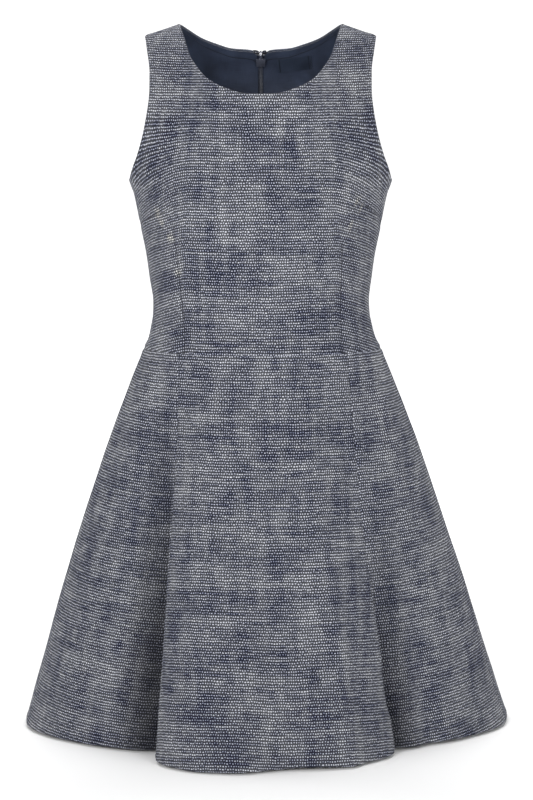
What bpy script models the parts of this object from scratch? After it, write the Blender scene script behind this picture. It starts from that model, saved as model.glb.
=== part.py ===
"""Fit and flare dress, hollow and filled out as it is when worn.

Metres, +Z up. The front faces -Y and +X is on the viewer's right. Z is zero halfway
along the shoulder seams, where the wearer's shoulders carry the dress.

A "drop" is a height measured down from the high end of the shoulder seam, beside the
neck. A "turn" is an angle round the figure in degrees: 0 at the centre front, 90 at
the side seam on the viewer's right and 180 at the centre back. A "depth" is measured
inwards from the outer face of the cloth. "Left" and "right" are the viewer's.
"""

import math
from collections import namedtuple

import bmesh
import bpy
from mathutils import Matrix, Vector

MM = 0.001

# Driving heights and widths, metres.
NECK_X = 96.4 * MM            # high end of the shoulder seam
TIP_X = 137.6 * MM            # low end of the shoulder seam, at the armhole
TIP_DROP = 14.2 * MM
SEAM_Y = 5.0 * MM             # the shoulder seam lies a little behind the middle
UNDERARM_DROP = 186.0 * MM
WAIST_DROP = 387.0 * MM
HEM_DROP = 846.0 * MM
TOP_Z = TIP_DROP / 2

# Cloth and gaps.
TWEED = 1.8 * MM
LINING = 1.0 * MM
TAPE = 1.0 * MM
SEAM_GAP = 0.3 * MM

# Horizontal sections of the bodice: half width, depth in front of and behind the side
# seams, and how far the middle has moved towards +X. Above the underarm the half width
# is that of the figure's shoulders, past the armhole.
BodySection = namedtuple("BodySection", "drop half_width front back middle")
BODY_SECTIONS = [
    BodySection(0, 147, 70, 64, 0),
    BodySection(30, 153.5, 80, 77, 0),
    BodySection(60, 157, 87, 88, 0),
    BodySection(90, 159.5, 93, 96, 0),
    BodySection(127, 161, 101, 102, 0),
    BodySection(158, 160.5, 107, 104, 0),
    BodySection(186, 156.5, 112, 104, 0),
    BodySection(200, 151.2, 114, 103, 0),
    BodySection(215, 147.8, 116, 101, 0),
    BodySection(243, 142.5, 116, 97, 0),
    BodySection(272, 136.8, 110, 92, 0),
    BodySection(301, 132.6, 103, 87, 0),
    BodySection(330, 128.8, 97, 84.5, 0.4),
    BodySection(344, 129.3, 95.5, 85, 0.8),
    BodySection(358, 131.6, 95.5, 87, 1.2),
    BodySection(373, 135.3, 97, 91, 1.7),
    BodySection(387, 142, 100, 96, 2.2),
]

# Outlines of the neck and armholes: half widths at each drop, millimetres.
EdgePoint = namedtuple("EdgePoint", "half_width drop")
FRONT_NECK = [
    EdgePoint(0, 81.4),
    EdgePoint(19.8, 80.4),
    EdgePoint(41.9, 74.2),
    EdgePoint(62.3, 63.6),
    EdgePoint(72.9, 52.2),
    EdgePoint(83.7, 36.1),
    EdgePoint(90.6, 15.2),
    EdgePoint(96.4, 0),
]
BACK_NECK = [
    EdgePoint(0, 38.9),
    EdgePoint(4.8, 35.8),
    EdgePoint(11.5, 31.9),
    EdgePoint(35.6, 29.5),
    EdgePoint(51.2, 24.8),
    EdgePoint(70.3, 17.4),
    EdgePoint(85.4, 7.7),
    EdgePoint(96.4, 0),
]
ARMHOLE = [
    EdgePoint(137.6, 14.2),
    EdgePoint(134.8, 31.7),
    EdgePoint(131.5, 57),
    EdgePoint(131.4, 78),
    EdgePoint(133.4, 99),
    EdgePoint(138.4, 127),
    EdgePoint(146.9, 156),
    EdgePoint(152.8, 171),
    EdgePoint(156.5, 186),
]

# The front and back round over to the shoulder seam within these heights.
FRONT_ROLL = 110 * MM
BACK_ROLL = 95 * MM
ROLL_POWER = 2.0

# The two cups that the darts shape.
CUP_RISE = 8 * MM
CUP_TURN = 38.0
CUP_DROP = 232 * MM
CUP_SPREAD_TURN = 22.0
CUP_SPREAD_DROP = 48 * MM

# The flare of the skirt at the side seams, before any fold, and its hem.
FlareSection = namedtuple("FlareSection", "drop half_width middle")
FLARE_SECTIONS = [
    FlareSection(387, 142, 2.2),
    FlareSection(426, 158, 2.6),
    FlareSection(498, 185.3, 3.0),
    FlareSection(571, 210, 3.2),
    FlareSection(669, 241.5, 4.6),
    FlareSection(767, 269.4, 6.2),
    FlareSection(846, 292.2, 7.8),
]
HEM_FRONT = 168 * MM          # plain depth of the hem in front of the middle
HEM_BACK = 208 * MM
FRONT_LAG = 0.6               # the front falls straighter than the sides at first
FOLD_POWER = 1.15

# Folds and flats round the hem. Each row joins a place on the waist seam to a place
# on the hem and says how far the hem stands out from its plain oval there, and the
# drop where that starts.
Fold = namedtuple("Fold", "name waist_turn hem_turn out start")
FOLDS = [
    Fold("left side seam", -90, -90, 0, 430),
    Fold("left side flat", -76, -76, -7, 430),
    Fold("left side front", -62, -60, -2, 430),
    Fold("left gore slope", -54, -49, 1, 450),
    Fold("left hollow", -48.4, -38.4, -9, 490),
    Fold("left crest", -44.9, -33.2, 48.5, 470),
    Fold("left crest shoulder", -36, -26.8, 75.5, 430),
    Fold("left swell", -23, -16.8, 95.5, 400),
    Fold("front swell", -12, -7.7, 97, 400),
    Fold("front dip", 1.4, 3.1, 79, 400),
    Fold("front flat", 10, 10.5, 73, 400),
    Fold("right swell", 22.7, 22.2, 74, 400),
    Fold("right crest shoulder", 32, 29.7, 55.5, 430),
    Fold("right crest turn", 41, 39.7, 29, 520),
    Fold("right crest", 45.2, 43.8, 10.5, 560),
    Fold("right hollow", 48.6, 46.4, -16, 590),
    Fold("right gore slope", 57, 52.5, -6, 560),
    Fold("right side front", 67, 62, -20, 480),
    Fold("right side flat", 78, 76, -21, 480),
    Fold("right side seam", 90, 93, 0, 430),
    Fold("right back crest", 111, 113, 30, 450),
    Fold("right back hollow", 128, 129, -20, 470),
    Fold("right back swell", 149, 150, 28, 430),
    Fold("right centre dip", 168, 168, -6, 470),
    Fold("left centre dip", 192, 191, -9, 450),
    Fold("left back swell", 212, 209, 32, 420),
    Fold("left back hollow", 231, 228, -16, 480),
    Fold("left back crest", 250, 247, 24, 440),
]

# Skirt pieces: the turns of their two seams at the waist, and their grid.
Gore = namedtuple("Gore", "name turn_from turn_to across")
GORES = [
    Gore("skirt_side_front_left", -90, -44.9, 18),
    Gore("skirt_front_centre", -44.9, 45.2, 26),
    Gore("skirt_side_front_right", 45.2, 90, 18),
    Gore("skirt_side_back_right", 90, 133, 14),
    Gore("skirt_centre_back_right", 133, 180, 14),
    Gore("skirt_centre_back_left", 180, 227, 14),
    Gore("skirt_side_back_left", 227, 270, 14),
]
GORE_ROWS = 14
GORE_NAMES = {gore.name: gore for gore in GORES}

# Grid of the bodice.
HALF_BODICE_COLUMNS = 12
BODICE_ROWS = 20
NECK_SHARE = 9 / 12           # share of a half panel's top edge that is neckline
SIDE_SHARE = 10 / 20          # share of its outer edge that is side seam
ARMHOLE_EASE = 1.35

# Steps, as shares of a panel, by which a surface's directions are measured.
INNER_STEP = 1e-4
EDGE_STEP = 1e-5
HALVINGS = 30

# Back lining, inside the upper back.
LINING_DEPTH = 3.4 * MM
LINING_FROM_CENTRE = 4.5 * MM
LINING_INSET = 0.1            # of a row or column, from the neck, shoulder and armhole

# Label on the lining.
LABEL_WIDTH = 42 * MM
LABEL_HEIGHT = 16 * MM
LABEL_X = 41.5 * MM
LABEL_DROP = 47 * MM
LABEL_TILT = math.radians(7)
LABEL_DEPTH = LINING_DEPTH + LINING + SEAM_GAP
LABEL_WALL = 0.8 * MM
LABEL_GRID = (8, 3)

# Zip.
TAPE_DEPTH = TWEED + SEAM_GAP
TAPE_FROM_CENTRE = 0.4 * MM
TAPE_WIDTH = 12.6 * MM
TAPE_TOP_DROP = 40.6 * MM
CHAIN_DEPTH = TAPE_DEPTH + TAPE + SEAM_GAP
CHAIN_WALL = 1.5 * MM
CHAIN_WIDTH = 5.2 * MM
CHAIN_TOP_DROP = 50.6 * MM
ZIP_SKIRT_ROWS = 5            # the zip ends this many rows of the gores below the waist

# Slider, in its own frame: x across, y down along the cloth, z out of the cloth, from
# the point where the neckline's notch ends at the centre back.
SLIDER_TOP_WIDTH = 11.6 * MM
SLIDER_FOOT_WIDTH = 9.8 * MM
SLIDER_TOP = 1.0 * MM
SLIDER_FOOT = 10.6 * MM
SLIDER_INNER = -8.8 * MM
SLIDER_OUTER = -5.6 * MM
NECK_HALF = 0.8 * MM
NOSE_HALF = 1.4 * MM
NECK_TOP = -4.7 * MM
NECK_FOOT = -1.7 * MM
HINGE_Y = -3.2 * MM
HINGE_Z = 2.2 * MM
EYE_RADIUS = 1.9 * MM
EYE_HOLE = 0.95 * MM
PIN_RADIUS = 0.6 * MM
TAB_HALF = 2.5 * MM
TAB_SLOT_HALF = 1.3 * MM
TAB_FOOT_HALF = 1.9 * MM
TAB_SLOT_END = 1.0 * MM
TAB_END = 17 * MM
TAB_THICK = 1.0 * MM
EDGE_ROUND = 0.25 * MM

TWEED_BLUE = (0.165, 0.170, 0.205, 1)
LINING_NAVY = (0.022, 0.029, 0.046, 1)
LABEL_NAVY = (0.014, 0.018, 0.032, 1)
TAPE_NAVY = (0.024, 0.031, 0.050, 1)
SLIDER_GREY = (0.135, 0.130, 0.150, 1)


class Smooth:
    """A smooth line through a table's rows, which doesn't overshoot them."""

    def __init__(self, places, values):
        self.places = list(places)
        self.values = list(values)
        steps = [b - a for a, b in zip(self.places, self.places[1:])]
        rises = [b - a for a, b in zip(self.values, self.values[1:])]
        slopes = [rise / step for rise, step in zip(rises, steps)]
        tangents = [slopes[0]]
        for before, after in zip(slopes, slopes[1:]):
            same_way = before * after > 0
            tangents.append(2 * before * after / (before + after) if same_way else 0.0)
        self.tangents = tangents + [slopes[-1]]

    def __call__(self, place):
        if place <= self.places[0]:
            return self.values[0] + self.tangents[0] * (place - self.places[0])
        if place >= self.places[-1]:
            return self.values[-1] + self.tangents[-1] * (place - self.places[-1])
        row = 0
        while place > self.places[row + 1]:
            row += 1
        step = self.places[row + 1] - self.places[row]
        t = (place - self.places[row]) / step
        start = (1 + 2 * t) * (1 - t) ** 2 * self.values[row]
        end = t * t * (3 - 2 * t) * self.values[row + 1]
        start_bend = t * (1 - t) ** 2 * step * self.tangents[row]
        end_bend = t * t * (t - 1) * step * self.tangents[row + 1]
        return start + end + start_bend + end_bend


def column(rows, place, value, scale=MM):
    """One column of a table as a smooth line over another, both in metres."""
    places = [getattr(row, place) * MM for row in rows]
    return Smooth(places, [getattr(row, value) * scale for row in rows])


def round_the_figure(value, scale=1.0):
    """One column of the folds as a smooth line over the whole way round."""
    rows = [(fold.waist_turn + 360 * lap, fold, lap) for lap in (-1, 0, 1) for fold in FOLDS]
    lift = 360 if value == "hem_turn" else 0
    return Smooth(
        [turn for turn, fold, lap in rows],
        [(getattr(fold, value) + lift * lap) * scale for turn, fold, lap in rows],
    )


half_width_at = column(BODY_SECTIONS, "drop", "half_width")
front_depth_at = column(BODY_SECTIONS, "drop", "front")
back_depth_at = column(BODY_SECTIONS, "drop", "back")
body_middle_at = column(BODY_SECTIONS, "drop", "middle")
armhole_at = column(ARMHOLE, "drop", "half_width")
flare_at = column(FLARE_SECTIONS, "drop", "half_width")
flare_middle_at = column(FLARE_SECTIONS, "drop", "middle")
hem_turn_at = round_the_figure("hem_turn")
fold_out_at = round_the_figure("out", MM)
fold_start_at = round_the_figure("start", MM)


def mix(a, b, share):
    return a + (b - a) * share


class Edge:
    """A smooth neckline, read by the share of its length from the centre."""

    def __init__(self, rows):
        points = [Vector((row.half_width, row.drop)) * MM for row in rows]
        lengths = [0.0]
        for a, b in zip(points, points[1:]):
            lengths.append(lengths[-1] + (b - a).length)
        shares = [length / lengths[-1] for length in lengths]
        self.half_width = Smooth(shares, [point.x for point in points])
        self.drop = Smooth(shares, [point.y for point in points])

    def at(self, share):
        return self.half_width(share), self.drop(share)


def ridge_drop(x):
    """The drop of the shoulder's ridge, which rounds over where the neck would be."""
    slope = TIP_DROP / (TIP_X - NECK_X)
    if abs(x) >= NECK_X:
        return (abs(x) - NECK_X) * slope
    return (x * x / NECK_X - NECK_X) * slope / 2


def bodice_point(turn, drop):
    """A point on the outer face of the bodice."""
    angle = math.radians(turn)
    in_front = math.cos(angle) >= 0
    depth = front_depth_at(drop) if in_front else back_depth_at(drop)
    x = half_width_at(drop) * math.sin(angle)
    y = -depth * math.cos(angle)
    if in_front:
        along = (abs(turn) - CUP_TURN) / CUP_SPREAD_TURN
        down = (drop - CUP_DROP) / CUP_SPREAD_DROP
        y -= CUP_RISE * math.exp(-along * along - down * down)
    below_ridge = (drop - ridge_drop(x)) / (FRONT_ROLL if in_front else BACK_ROLL)
    if below_ridge < 1:
        left = 1 - max(below_ridge, 0.0)
        y = mix(SEAM_Y, y, (1 - left ** ROLL_POWER) ** (1 / ROLL_POWER))
    return Vector((x + body_middle_at(drop), y, TOP_Z - drop))


def skirt_point(turn, drop):
    """A point on the outer face of the skirt, the turn being that at the waist."""
    angle = math.radians(turn)
    waist_half = half_width_at(WAIST_DROP)
    in_front = math.cos(angle) >= 0
    waist_depth = front_depth_at(WAIST_DROP) if in_front else back_depth_at(WAIST_DROP)
    waist = Vector((waist_half * math.sin(angle), -waist_depth * math.cos(angle)))
    hem_angle = math.radians(hem_turn_at(turn))
    way_out = Vector((math.sin(hem_angle), -math.cos(hem_angle)))
    hem_depth = HEM_FRONT if math.cos(hem_angle) >= 0 else HEM_BACK
    hem_half = flare_at(HEM_DROP)
    oval = 1 / math.hypot(way_out.x / hem_half, way_out.y / hem_depth)
    flare = (flare_at(drop) - waist_half) / (hem_half - waist_half)
    if in_front and flare > 0:
        flare **= 1 + FRONT_LAG * math.cos(angle) ** 2
    start = fold_start_at(turn)
    fold = max(0.0, (drop - start) / (HEM_DROP - start)) ** FOLD_POWER
    place = waist + (way_out * oval - waist) * flare + way_out * fold_out_at(turn) * fold
    return Vector((place.x + flare_middle_at(drop), place.y, TOP_Z - drop))


def half_panel(neck):
    """The way from (out, up), each 0 to 1, to the angle from the centre and the drop.

    Out goes from the centre to the side seam and armhole, up from the waist to the
    neckline and shoulder, and the inside is blended from the four edges.
    """

    def angle_of(half_width, drop):
        return math.degrees(math.asin(min(1.0, half_width / half_width_at(drop))))

    def top(out):
        if out <= NECK_SHARE:
            half_width, drop = neck.at(out / NECK_SHARE)
        else:
            share = (out - NECK_SHARE) / (1 - NECK_SHARE)
            half_width, drop = mix(NECK_X, TIP_X, share), mix(0.0, TIP_DROP, share)
        return Vector((angle_of(half_width, drop), drop))

    def side(up):
        if up <= SIDE_SHARE:
            return Vector((90.0, mix(WAIST_DROP, UNDERARM_DROP, up / SIDE_SHARE)))
        share = ((up - SIDE_SHARE) / (1 - SIDE_SHARE)) ** ARMHOLE_EASE
        drop = mix(UNDERARM_DROP, TIP_DROP, share)
        return Vector((angle_of(armhole_at(drop), drop), drop))

    def blend(out, up):
        centre = Vector((0.0, mix(WAIST_DROP, top(0.0).y, up)))
        waist = Vector((90.0 * out, WAIST_DROP))
        across = mix(centre, side(up), out)
        upwards = mix(waist, top(out), up)
        low = mix(Vector((0.0, WAIST_DROP)), Vector((90.0, WAIST_DROP)), out)
        corners = mix(low, mix(top(0.0), top(1.0), out), up)
        return across + upwards - corners

    return blend


front_half = half_panel(Edge(FRONT_NECK))
back_half = half_panel(Edge(BACK_NECK))


def front_bodice(across, up):
    out = abs(2 * across - 1)
    angle, drop = front_half(out, up)
    return bodice_point(math.copysign(angle, across - 0.5), drop)


def back_bodice_right(across, up):
    angle, drop = back_half(1 - across, up)
    return bodice_point(180 - angle, drop)


def back_bodice_left(across, up):
    angle, drop = back_half(across, up)
    return bodice_point(180 + angle, drop)


def tangents(place, across, up):
    """Unit vectors along the surface, across and up."""

    def ends(share):
        if 0 < share < 1:
            return share - INNER_STEP, share + INNER_STEP
        return max(0.0, share - EDGE_STEP), min(1.0, share + EDGE_STEP)

    low, high = ends(across)
    along = place(high, up) - place(low, up)
    low, high = ends(up)
    upwards = place(across, high) - place(across, low)
    return along.normalized(), upwards.normalized()


def surface_of(place, waist_up, turn_at):
    """A surface gives its point and its two directions at (across, up).

    At the waist seam, where up is waist_up, the wall leans the same way on both sides.
    """

    def surface(across, up):
        along, upwards = tangents(place, across, up)
        if abs(up - waist_up) < 1e-6:
            turn = turn_at(across)
            above = bodice_point(turn, WAIST_DROP - MM)
            upwards = (above - skirt_point(turn, WAIST_DROP + MM)).normalized()
        return place(across, up), along, upwards

    return surface


def gore_surface(gore):
    def turn_at(across):
        return mix(gore.turn_from, gore.turn_to, across)

    def place(across, up):
        return skirt_point(turn_at(across), mix(HEM_DROP, WAIST_DROP, up))

    return surface_of(place, 1.0, turn_at)


front_surface = surface_of(front_bodice, 0.0, lambda across: 180 * across - 90)
back_right_surface = surface_of(back_bodice_right, 0.0, lambda across: 90 + 90 * across)
back_left_surface = surface_of(back_bodice_left, 0.0, lambda across: 180 + 90 * across)


class Facets:
    """The flat faces of a panel, from which what lies on the panel is made."""

    def __init__(self, surface, grid, centre):
        self.columns, self.rows = grid
        self.centre = centre          # the panel's edge at the centre back, 0 or 1
        self.corners = [
            [surface(i / self.columns, j / self.rows) for j in range(self.rows + 1)]
            for i in range(self.columns + 1)]

    def at(self, across, up):
        i = min(int(across * self.columns), self.columns - 1)
        j = min(int(up * self.rows), self.rows - 1)
        s, t = across * self.columns - i, up * self.rows - j
        near, far = self.corners[i], self.corners[i + 1]
        return tuple(
            mix(mix(near[j][k], far[j][k], s), mix(near[j + 1][k], far[j + 1][k], s), t)
            for k in range(3))

    def across_at(self, distance, up):
        """How far across the panel is at a distance from the centre back, by halving."""
        near, far = self.centre, 0.5
        edge = self.at(near, up)[0]
        for _ in range(HALVINGS):
            middle = (near + far) / 2
            if (self.at(middle, up)[0] - edge).length < abs(distance):
                near = middle
            else:
                far = middle
        return near

    def find(self, distance, drop):
        """The place on the panel at a distance from the centre back and a drop."""
        low, high = 0.0, 1.0
        for _ in range(HALVINGS):
            up = (low + high) / 2
            across = self.across_at(distance, up)
            if TOP_Z - self.at(across, up)[0].z > drop:
                low = up
            else:
                high = up
        return across, up


def cloth(name, surface, grid, wall, depth, colour, seams="", inset=SEAM_GAP / 2):
    """One closed piece of cloth that follows a surface at a depth below it.

    The seams are its edges that are drawn back by the inset: any of l, r, b and t for
    left, right, bottom and top.
    """
    mesh_maker = bmesh.new()
    bmesh.ops.create_grid(mesh_maker, x_segments=grid[0], y_segments=grid[1], size=0.5)
    sheet = bmesh.ops.extrude_face_region(
        mesh_maker, geom=mesh_maker.faces[:], use_keep_orig=True)
    inner = [item for item in sheet["geom"] if isinstance(item, bmesh.types.BMVert)]
    bmesh.ops.translate(mesh_maker, verts=inner, vec=(0, 0, -1))
    for corner in mesh_maker.verts:
        across, up = corner.co.x + 0.5, corner.co.y + 0.5
        on_inside = corner.co.z < -0.5
        spot, along, upwards = surface(across, up)
        out = along.cross(upwards).normalized()
        spot = spot - out * (depth + (wall if on_inside else 0.0))
        if "l" in seams and across < 1e-5:
            spot += along * inset
        if "r" in seams and across > 1 - 1e-5:
            spot -= along * inset
        if "b" in seams and up < 1e-5:
            spot += upwards * inset
        if "t" in seams and up > 1 - 1e-5:
            spot -= upwards * inset
        corner.co = spot
    return add_piece(name, mesh_maker, colour, 0.9)


def face_outwards(mesh_maker):
    bmesh.ops.recalc_face_normals(mesh_maker, faces=mesh_maker.faces[:])
    if mesh_maker.calc_volume(signed=True) < 0:
        bmesh.ops.reverse_faces(mesh_maker, faces=mesh_maker.faces[:])


def add_piece(name, mesh_maker, colour, roughness, metallic=0.0):
    """Make a node from a mesh, with its own material and smooth round faces."""
    face_outwards(mesh_maker)
    mesh = bpy.data.meshes.new(name)
    mesh_maker.to_mesh(mesh)
    mesh_maker.free()
    mesh.shade_smooth()
    mesh.set_sharp_from_angle(angle=math.radians(40))
    piece = bpy.data.objects.new(name, mesh)
    material = bpy.data.materials.new(name)
    material.use_nodes = True
    shader = material.node_tree.nodes["Principled BSDF"]
    shader.inputs["Base Color"].default_value = colour
    shader.inputs["Roughness"].default_value = roughness
    shader.inputs["Metallic"].default_value = metallic
    mesh.materials.append(material)
    dress.objects.link(piece)
    return piece


def make_bodice():
    for name, surface, grid in (
            ("bodice_front", front_surface, (2 * HALF_BODICE_COLUMNS, BODICE_ROWS)),
            ("bodice_back_right", back_right_surface, (HALF_BODICE_COLUMNS, BODICE_ROWS)),
            ("bodice_back_left", back_left_surface, (HALF_BODICE_COLUMNS, BODICE_ROWS))):
        cloth(name, surface, grid, TWEED, 0, TWEED_BLUE, "lrbt")


def make_skirt():
    for gore in GORES:
        grid = (gore.across, GORE_ROWS)
        cloth(gore.name, gore_surface(gore), grid, TWEED, 0, TWEED_BLUE, "lrt")


def make_lining():
    """The lining has its panel's own rows and columns, clear of the zip."""
    for side in ("left", "right"):
        facets = upper_back[side]

        def surface(across, up, facets=facets, side=side):
            row = min(mix(SIDE_SHARE, 1.0, up), 1 - LINING_INSET / BODICE_ROWS)
            zip_edge = facets.across_at(LINING_FROM_CENTRE, row)
            side_edge = LINING_INSET / HALF_BODICE_COLUMNS
            if side == "left":
                return facets.at(min(max(across, zip_edge), 1 - side_edge), row)
            return facets.at(max(min(across, zip_edge), side_edge), row)

        grid = (HALF_BODICE_COLUMNS, round(BODICE_ROWS * (1 - SIDE_SHARE)))
        cloth("lining_back_" + side, surface, grid, LINING, LINING_DEPTH, LINING_NAVY)


def make_label():
    facets = upper_back["right"]

    def surface(across, up):
        sideways = (0.5 - across) * LABEL_WIDTH
        downwards = (0.5 - up) * LABEL_HEIGHT
        x = LABEL_X + sideways * math.cos(LABEL_TILT) + downwards * math.sin(LABEL_TILT)
        drop = LABEL_DROP - sideways * math.sin(LABEL_TILT) + downwards * math.cos(LABEL_TILT)
        return facets.at(*facets.find(x, drop))

    cloth("neck_label", surface, LABEL_GRID, LABEL_WALL, LABEL_DEPTH, LABEL_NAVY)


def make_zip_strips():
    """The two tapes and the closed chain, with a row at each row of the back's cloth."""
    outer = TAPE_FROM_CENTRE + TAPE_WIDTH
    chain_half = CHAIN_WIDTH / 2
    strips = [
        ("zip_tape_left", -outer, -TAPE_FROM_CENTRE, TAPE_TOP_DROP, TAPE_DEPTH, TAPE),
        ("zip_tape_right", TAPE_FROM_CENTRE, outer, TAPE_TOP_DROP, TAPE_DEPTH, TAPE),
        ("zip_chain", -chain_half, chain_half, CHAIN_TOP_DROP, CHAIN_DEPTH, CHAIN_WALL),
    ]
    rows = ZIP_SKIRT_ROWS + BODICE_ROWS
    for name, left_x, right_x, top_drop, depth, wall in strips:

        def surface(across, up, left_x=left_x, right_x=right_x, top_drop=top_drop):
            x = mix(right_x, left_x, across)
            side = "right" if x > 0 else "left"
            row = up * rows - ZIP_SKIRT_ROWS
            if row < 0:
                panel, share = hip_back[side], 1 + row / GORE_ROWS
            else:
                panel = upper_back[side]
                top = (WAIST_DROP - top_drop) / (WAIST_DROP - BACK_NECK[0].drop * MM)
                share = min(row / BODICE_ROWS, top)
            return panel.at(panel.across_at(x, share), share)

        cloth(name, surface, (2, rows), wall, depth, TAPE_NAVY)


def slider_frame():
    """The slider's own frame: x across, y down along the cloth, z out of it."""
    drop = BACK_NECK[0].drop * MM
    spot = bodice_point(180, drop)
    down = (bodice_point(180, drop + SLIDER_FOOT) - spot).normalized()
    across = Vector((1, 0, 0))
    return Matrix.Translation(spot) @ Matrix(
        (across, down, across.cross(down))).transposed().to_4x4()


def block(mesh_maker, low, high, foot_half=None):
    """A box between two corners, whose +y end may be another half width."""
    made = bmesh.ops.create_cube(mesh_maker, size=1.0)["verts"]
    low, high = Vector(low), Vector(high)
    for corner in made:
        share = corner.co + Vector((0.5, 0.5, 0.5))
        corner.co = Vector(mix(a, b, t) for a, b, t in zip(low, high, share))
        if foot_half is not None and share.y > 0.5:
            corner.co.x = math.copysign(foot_half, corner.co.x)
    return made


def drum(mesh_maker, radius, half_length, sides):
    """A round bar along x on the hinge's axis."""
    lie_down = Matrix.Rotation(math.radians(90), 4, "Y")
    at_hinge = Matrix.Translation((0, HINGE_Y, HINGE_Z)) @ lie_down
    bmesh.ops.create_cone(
        mesh_maker, cap_ends=True, segments=sides, radius1=radius, radius2=radius,
        depth=2 * half_length, matrix=at_hinge)


def solid(name, build):
    """A helper solid in the slider's frame, for the joins and cuts below."""
    mesh_maker = bmesh.new()
    build(mesh_maker)
    face_outwards(mesh_maker)
    mesh = bpy.data.meshes.new(name)
    mesh_maker.to_mesh(mesh)
    mesh_maker.free()
    helper = bpy.data.objects.new(name, mesh)
    helper.hide_render = True
    helper.display_type = "WIRE"
    cutters.objects.link(helper)
    return helper


def combined(name, first, steps, colour):
    """Join helper solids into one piece, or cut them out of it, in the order given."""
    for operation, helper in steps:
        modifier = first.modifiers.new(helper.name, "BOOLEAN")
        modifier.operation = operation
        modifier.object = helper
    bpy.context.view_layer.update()
    done = first.evaluated_get(bpy.context.evaluated_depsgraph_get())
    mesh_maker = bmesh.new()
    mesh_maker.from_mesh(done.to_mesh())
    bmesh.ops.remove_doubles(mesh_maker, verts=mesh_maker.verts[:], dist=1e-6)
    bmesh.ops.triangulate(mesh_maker, faces=mesh_maker.faces[:])
    first.modifiers.clear()
    return add_piece(name, mesh_maker, colour, 0.42, 0.6)


def make_slider(frame):
    body = solid("slider_body", lambda bm: block(
        bm, (-SLIDER_TOP_WIDTH / 2, SLIDER_TOP, SLIDER_INNER),
        (SLIDER_TOP_WIDTH / 2, SLIDER_FOOT, SLIDER_OUTER), SLIDER_FOOT_WIDTH / 2))
    nose = solid("slider_nose", lambda bm: block(
        bm, (-NOSE_HALF, NECK_TOP, SLIDER_INNER + MM),
        (NOSE_HALF, SLIDER_TOP + MM, SLIDER_OUTER - EDGE_ROUND)))
    neck = solid("slider_neck", lambda bm: block(
        bm, (-NECK_HALF, NECK_TOP + EDGE_ROUND, SLIDER_OUTER - MM),
        (NECK_HALF, NECK_FOOT, HINGE_Z - EYE_HOLE - EDGE_ROUND)))
    eye = solid("slider_eye", lambda bm: drum(bm, EYE_RADIUS, NECK_HALF, 16))
    hole = solid("eye_hole", lambda bm: drum(bm, EYE_HOLE, 2 * NECK_HALF, 12))
    steps = [("UNION", nose), ("UNION", neck), ("UNION", eye), ("DIFFERENCE", hole)]
    piece = combined("zip_slider", body, steps, SLIDER_GREY)
    piece.data.transform(frame)
    return piece


def make_pull_tab(frame):
    low_z, high_z = HINGE_Z - TAB_THICK / 2, HINGE_Z + TAB_THICK / 2
    plate = solid("tab_plate", lambda bm: block(
        bm, (-TAB_HALF, HINGE_Y, low_z), (TAB_HALF, TAB_END, high_z), TAB_FOOT_HALF))
    slot = solid("tab_slot", lambda bm: block(
        bm, (-TAB_SLOT_HALF, HINGE_Y - MM, low_z - MM), (TAB_SLOT_HALF, TAB_SLOT_END, high_z + MM)))
    bar = solid("tab_bar", lambda bm: drum(bm, PIN_RADIUS, TAB_HALF - EDGE_ROUND, 12))
    steps = [("DIFFERENCE", slot), ("UNION", bar)]
    piece = combined("zip_pull_tab", plate, steps, SLIDER_GREY)
    hinge = Matrix.Translation((0, HINGE_Y, HINGE_Z))
    piece.data.transform(hinge.inverted())
    piece.matrix_world = frame @ hinge
    return piece


def clear_scene():
    for item in list(bpy.data.objects):
        bpy.data.objects.remove(item)


clear_scene()
dress = bpy.data.collections.new("fit_and_flare_dress")
cutters = bpy.data.collections.new("cutters")
bpy.context.scene.collection.children.link(dress)
bpy.context.scene.collection.children.link(cutters)

back_grid = (HALF_BODICE_COLUMNS, BODICE_ROWS)
upper_back = {
    "left": Facets(back_left_surface, back_grid, 0.0),
    "right": Facets(back_right_surface, back_grid, 1.0),
}
hip_back = {}
for hip_side, centre_edge in (("left", 0.0), ("right", 1.0)):
    hip_gore = GORE_NAMES["skirt_centre_back_" + hip_side]
    hip_grid = (hip_gore.across, GORE_ROWS)
    hip_back[hip_side] = Facets(gore_surface(hip_gore), hip_grid, centre_edge)

make_bodice()
make_skirt()
make_lining()
make_label()
make_zip_strips()
zip_frame = slider_frame()
make_slider(zip_frame)
make_pull_tab(zip_frame)
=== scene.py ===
"""Fit and flare dress: the cloth, its lining, its zip and the studio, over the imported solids."""

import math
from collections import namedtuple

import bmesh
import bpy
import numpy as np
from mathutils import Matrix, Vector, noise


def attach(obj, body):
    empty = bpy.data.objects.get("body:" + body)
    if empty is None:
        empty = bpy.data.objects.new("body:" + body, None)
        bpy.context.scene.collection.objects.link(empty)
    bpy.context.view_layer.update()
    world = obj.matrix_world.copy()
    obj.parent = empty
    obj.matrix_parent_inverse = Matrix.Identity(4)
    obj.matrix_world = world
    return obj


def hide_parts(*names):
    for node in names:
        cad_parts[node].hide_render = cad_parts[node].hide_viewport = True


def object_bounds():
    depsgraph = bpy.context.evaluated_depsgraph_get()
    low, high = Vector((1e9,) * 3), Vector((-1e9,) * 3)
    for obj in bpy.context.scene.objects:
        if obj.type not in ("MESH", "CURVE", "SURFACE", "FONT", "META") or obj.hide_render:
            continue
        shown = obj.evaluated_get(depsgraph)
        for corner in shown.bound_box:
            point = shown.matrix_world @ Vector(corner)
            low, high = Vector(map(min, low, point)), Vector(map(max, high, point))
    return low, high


bl_info = {
    "name": "Fit and Flare Dress",
    "version": (1, 0, 0),
    "blender": (4, 5, 0),
    "location": "View3D > Sidebar > Dress",
    "description": "Cloth, lining, zip and studio of a sleeveless dress with a flared skirt",
    "category": "Add Mesh",
}

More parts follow.
